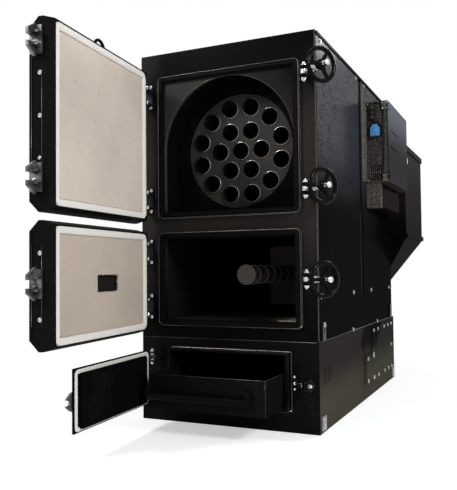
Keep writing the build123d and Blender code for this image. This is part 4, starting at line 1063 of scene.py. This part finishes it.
class BOILER_OT_cabinet(bpy.types.Operator):
    """Switches, socket, cover plates and strips of the control cabinet"""
    bl_idname = "boiler.cabinet"
    bl_label = "Cabinet"

    def execute(self, context):
        parts = {round(a.z, 2): (a, b) for a, b in islands("cabinet_fittings")}
        self.switches(*parts[1.54])
        self.socket(*parts[1.44])
        low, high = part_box("cabinet_box")
        x0, x1, y = low.x, high.x, low.y
        ends = (low.z + 0.026, high.z - 0.026)
        f = Forge()
        for xa, xb, ya, yb, inset, mat, bevel in (
            (x0, x0 + 0.0015, y - 0.090, y - 0.054, 0.002, "strip_zinc", 0.0004),
            (x0, x0 + 0.016, y - 0.055, y - 0.0535, 0.002, "strip_zinc", 0.0004),
            (x0 + 0.001, x0 + 0.0045, y - 0.0012, y, 0.004, "bright_steel", 0.0003),
            (x1 - 0.0125, x1 - 0.0100, y - 0.0009, y, 0.05, "zinc", 0.0003),
        ):
            f.slab((xa, ya, low.z + inset), (xb, yb, high.z - inset), HERE, mat, bevel)
        for z in ends:
            f.slab((x1 - 0.030, y - 0.0018, z - 0.021), (x1 - 0.001, y, z + 0.021), HERE, "smoke_black", 0.0006)
        f.done("cabinet_strips", "boiler", "bright_steel")
        heads = [spot(x, y - 0.0018, z + s * 0.0155, OUT, 0.0031)
                 for z in ends for s in (-1, 1) for x in (x1 - 0.026, x1 - 0.0045)]
        heads += [spot(x0 + 0.012, y, z, OUT, 0.0034) for z in (low.z + 0.012, high.z - 0.012)]
        a, b = parts[1.05]
        heads += [spot(b.x - 0.010, a.y, z, OUT, 0.003) for z in (a.z + 0.012, b.z - 0.05)]
        fixings("cabinet_screws", "boiler", heads, 0.5, 1.15, sides=16)
        return {"FINISHED"}

    def switches(self, a, b):
        """Three rockers on a plate, each tilted against the next."""
        f = Forge()
        rim, n = 0.002, 3
        step = (b.z - a.z) / n
        f.slab((a.x + rim, a.y - 0.0012, a.z + rim), (b.x - rim, a.y + 0.001, b.z - rim), HERE, "edge_gloss", 0.0008)
        for i in range(n):
            tilt = MOVE(((a.x + b.x) / 2, a.y - 0.001, a.z + step * (i + 0.5)))
            tilt = tilt @ Matrix.Rotation(math.radians(9 if i % 2 else -9), 4, "X")
            f.slab((-0.0118, -0.005, -step * 0.46), (0.0118, 0.003, step * 0.46), tilt, "black_plastic", 0.0016)
        f.done("rocker_switches", "boiler", "black_plastic")

    def socket(self, a, b):
        """Blue flap with a hinge tab above, a thumb lip below and a raised disc."""
        x, half, tab, cut = (a.x + b.x) / 2, 0.0262, 0.0145, 0.006
        z0, z1, z2 = a.z - 0.001, a.z + 0.053, a.z + 0.066
        rise = ((half - cut, z0), (half, z0 + cut), (half, z1 - cut), (half - cut, z1), (tab, z1 + 0.001), (tab, z2))
        outline = [(x + w, z) for w, z in rise] + [(x - w, z) for w, z in reversed(rise)]
        f = Forge()
        f.sheet(outline, 0.009, MOVE((0, a.y + 0.0025, 0)) @ FACE_OUT, "socket_blue", 0.002)
        f.slab((x - 0.011, a.y - 0.0105, z0 + 0.003), (x + 0.011, a.y - 0.004, z0 + 0.010), HERE, "socket_blue")
        f.lathe([(TIP, 0.0012), (0.0155, 0.0012), (0.0175, 0.0), (0.0175, -0.002)],
                MOVE((x, a.y - 0.0066, a.z + 0.034)) @ FACE_OUT, "socket_blue", 32)
        f.done("socket_flap", "boiler", "black_plastic")


class BOILER_OT_bin(bpy.types.Operator):
    """Catches on the fuel bin, and the drive's fins"""
    bl_idname = "boiler.bin"
    bl_label = "Bin and drive"

    def execute(self, context):
        low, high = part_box("bin_walls")
        f = Forge()
        for s in (-1, 1):
            x0, x1 = sorted((0.540 * s, 0.5495 * s))
            for y, z in ((low.y + 0.017, high.z - 0.050), (low.y + 0.042, high.z - 0.098)):
                f.slab((x0, y - 0.012, z - 0.018), (x1, y + 0.012, z + 0.018), HERE, "bright_steel", 0.0025)
        f.done("bin_catches", "boiler", "bright_steel")
        low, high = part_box("gear_motor")
        axle = Vector((0.015, 0, low.z + 0.066))
        f = Forge()
        for a in turns(26):
            if min(abs(a - 0.15), abs(a - 6.43)) >= 0.55:
                f.slab((0.063, high.y - 0.205, -0.0011), (0.0695, high.y - 0.055, 0.0011),
                       MOVE(axle) @ Matrix.Rotation(-a, 4, "Y"), "motor_grey", 0.0005)
        for k in range(5):
            r = 0.012 + 0.0095 * k
            f.lathe([(r, 0), (r + 0.0035, 0), (r + 0.0035, 0.002), (r, 0.002)],
                    MOVE((axle.x, high.y - 0.0002, axle.z)) @ FACE_OUT, "motor_grey", 36, closed=True)
        f.done("motor_fins", "boiler", "motor_grey")
        return {"FINISHED"}


def tone(name, about, default):
    return FloatVectorProperty(name=name, description=about, default=default, subtype="COLOR", size=3, min=0, max=1)


def matt(name, about, default):
    return FloatProperty(name=name, description=about, default=default, min=0, max=1)


def length(name, about, default):
    return FloatProperty(name=name, description=about, default=default, unit="LENGTH", min=0, precision=5)


def angle(name, about, degrees):
    return FloatProperty(name=name, description=about, default=math.radians(degrees), subtype="ANGLE")


class BoilerFinish(bpy.types.PropertyGroup):
    """Colours of the finishes."""

    body: tone("Body enamel", "Black enamel of the doors, casing and small parts", (0.0062, 0.0061, 0.0057))
    side: tone("Side enamel", "Black enamel of the side panels", (0.0036, 0.0028, 0.0028))
    base: tone("Base enamel", "Enamel of the base's sides", (0.026, 0.0225, 0.021))
    bin: tone("Bin enamel", "Brown-black enamel of the fuel bin", (0.0105, 0.0078, 0.008))
    door: tone("Cabinet door", "Brown-black enamel of the cabinet door", (0.027, 0.0245, 0.0262))
    cabinet: tone("Cabinet", "Hammered paint of the cabinet", (0.016, 0.0135, 0.012))
    flap: tone("Socket flap", "Blue plastic of the socket's flap", (0.1, 0.31, 0.6))
    lining: tone("Lining", "Cast lining of the upper door", (0.70, 0.60, 0.515))
    rope: tone("Rope", "Bleached fibre of the door ropes", (0.95, 0.93, 0.89))
    sheet: tone("Tube sheet", "Heat-dulled steel round the tubes", (0.05, 0.0465, 0.043))
    bright: tone("Bright steel", "Plated nuts, rods and catches", (0.72, 0.72, 0.74))
    weld: tone("Weld", "Painted weld beads", (0.12, 0.117, 0.112))
    motor: tone("Motor", "Paint of the gear motor", (0.06, 0.065, 0.07))
    enamel_rough: matt("Enamel roughness", "How matt the enamel is", 0.28)
    cast_rough: matt("Lining roughness", "How matt the lining is", 0.92)


class BoilerTrim(bpy.types.PropertyGroup):
    """Sizes of what is laid on the solids."""

    bead: length("Weld bead", "Radius of a weld ripple", 0.0042)
    bead_pitch: length("Bead pitch", "Distance from one weld ripple to the next", 0.0056)
    # edge_line: radius of the thin metal lines that stand in for edge highlights (painted highlights)
    edge_line: length("Worn edge", "Radius of the rubbed line on a plate's edge", 0.0011)
    tube_ring: length("Tube weld", "Thickness of the weld round a tube's end", 0.0042)
    rope: length("Door rope", "Width of the rope round the two upper doors", 0.034)
    ash_rope: length("Ash door rope", "Width of the rope round the ash door", 0.019)
    wheel_rim: length("Wheel rim", "Half the thickness of a hand wheel's rim", 0.0098)
    eye_ring: length("Lifting eye", "Radius of the lifting eye", 0.039)
    eye_bar: length("Eye bar", "Radius of the lifting eye's bar", 0.0068)
    rope_fray: IntProperty(name="Rope fray", description="Loose fibres at each step of the ash door's rope",
                           default=2, min=0)


class BoilerStage(bpy.types.PropertyGroup):
    """Camera and floor."""

    lens: FloatProperty(name="Lens", description="Camera lens length", default=48.6136, unit="CAMERA")
    eye: FloatVectorProperty(name="Eye", description="Where the camera stands", default=(1.2794, -3.5642, 0.7146),
                             subtype="TRANSLATION", unit="LENGTH")
    yaw: angle("Yaw", "Turn of the camera from +Y", 24.7057)
    pitch: angle("Pitch", "Tilt of the camera upwards", 2.0204)
    roll: angle("Roll", "Roll of the camera", -0.5716)
    shadow_reach: FloatProperty(name="Shadow reach", description="How far from the boiler the floor keeps its shade",
                                default=2.6, unit="LENGTH")
    floor_glow: FloatProperty(name="Floor glow", description="White added to the floor that the camera sees",
                              default=0.5)


class BOILER_OT_finishes(bpy.types.Operator):
    """Give every solid its finish"""
    bl_idname = "boiler.finishes"
    bl_label = "Finishes"

    def execute(self, context):
        make_materials()
        for part in frame["record"]["subparts"]:
            node = part["node"]
            slots = bpy.data.objects[node].material_slots
            if not slots:
                raise RuntimeError("no material slot on " + node)
            for s in slots:
                s.material = MATS[OWN_FINISH.get(node, part["material_slot"])]
        return {"FINISHED"}


class BOILER_OT_stage(bpy.types.Operator):
    """Floor, backdrop, lamps and camera"""
    bl_idname = "boiler.stage"
    bl_label = "Stage"

    def execute(self, context):
        scene, st = context.scene, context.scene.boiler_stage
        lens = bpy.data.cameras.new("camera")
        lens.lens, lens.sensor_width, lens.clip_start, lens.clip_end = st.lens, 36, 0.05, 200
        cam = bpy.data.objects.new("camera", lens)
        turn = Matrix.Rotation(st.yaw, 4, "Z") @ Matrix.Rotation(math.pi / 2 + st.pitch, 4, "X")
        cam.matrix_world = MOVE(st.eye) @ turn @ Matrix.Rotation(st.roll, 4, "Z")
        scene.collection.objects.link(cam)
        scene.camera = cam
        scene.world = bpy.data.worlds.new("hall")
        scene.world.use_nodes = True
        sky = Nodes(scene.world.node_tree)
        light, seen = [sky.node("ShaderNodeBackground", {0: tint, 1: strength})
                       for tint, strength in (((0.9, 0.95, 1.0), 0.35), ((1, 1, 1), 1.0))]
        sky.put(sky.tree.nodes.new("ShaderNodeOutputWorld").inputs[0], sky.mix(sky.clear_rays(), light, seen))
        self.floor(scene, st)
        for name, at, look, size, watts in (
            ("key", (-2.6, -4.6, 4.2), (0, -0.4, 0.9), 1.0, 190),
            ("fill", (4.4, -2.6, 3.2), (0.3, 0, 0.9), 1.0, 150),
            ("back", (1.5, 5.5, 4.5), (0, 0, 1.0), 1.5, 110),
        ):
            lamp = bpy.data.lights.new(name, "AREA")
            lamp.energy, lamp.size = watts, size
            obj = bpy.data.objects.new(name, lamp)
            obj.location = at
            obj.rotation_euler = (Vector(look) - Vector(at)).to_track_quat("-Z", "Y").to_euler()
            scene.collection.objects.link(obj)
        scene.view_settings.view_transform = "Standard"
        return {"FINISHED"}

    def floor(self, scene, st):
        """A pale floor that fades to white away from the boiler, for the camera alone."""
        mesh, wide = bpy.data.meshes.new("floor"), 40
        mesh.from_pydata([(-wide, -wide, 0), (wide, -wide, 0), (wide, wide, 0), (-wide, wide, 0)], [], [(0, 1, 2, 3)])
        floor = bpy.data.objects.new("floor", mesh)
        scene.collection.objects.link(floor)
        floor.location.z = -0.0005
        p = Paint("floor", (0.8, 0.8, 0.8), 0.9, 0.0)
        shaded = p.shader.outputs[0]
        far = p.from_line(0, 0.2).band(st.shadow_reach * 0.45, st.shadow_reach)
        near = p.node("ShaderNodeAddShader", {0: shaded, 1: p.node("ShaderNodeEmission", {1: st.floor_glow})})
        p.put(p.end, p.mix(p.clear_rays(), shaded, p.mix(far, near, p.node("ShaderNodeEmission"))))
        mesh.materials.append(p.mat)


OPERATORS = [BOILER_OT_finishes, BOILER_OT_seals, BOILER_OT_catches, BOILER_OT_wheels, BOILER_OT_welds,
             BOILER_OT_fixings, BOILER_OT_cabinet, BOILER_OT_bin, BOILER_OT_stage]
GROUPS = {"boiler_stage": BoilerStage, "boiler_finish": BoilerFinish, "boiler_trim": BoilerTrim}


class BOILER_PT_panel(bpy.types.Panel):
    """Sidebar panel with one button for each step"""
    bl_idname = "BOILER_PT_panel"
    bl_label = "Boiler"
    bl_space_type = "VIEW_3D"
    bl_region_type = "UI"
    bl_category = "Boiler"

    def draw(self, context):
        for op in OPERATORS:
            self.layout.operator(op.bl_idname)
        for name, kind in GROUPS.items():
            for prop in kind.__annotations__:
                self.layout.prop(getattr(context.scene, name), prop)


CLASSES = [*GROUPS.values(), *OPERATORS, BOILER_PT_panel]


def register():
    for c in CLASSES:
        bpy.utils.register_class(c)
    for name, kind in GROUPS.items():
        setattr(bpy.types.Scene, name, PointerProperty(type=kind))


def unregister():
    for name in GROUPS:
        delattr(bpy.types.Scene, name)
    for c in reversed(CLASSES):
        bpy.utils.unregister_class(c)


def main():
    register()
    for op in OPERATORS:
        getattr(bpy.ops.boiler, op.bl_idname.split(".")[1])()


if __name__ == "__main__":
    main()
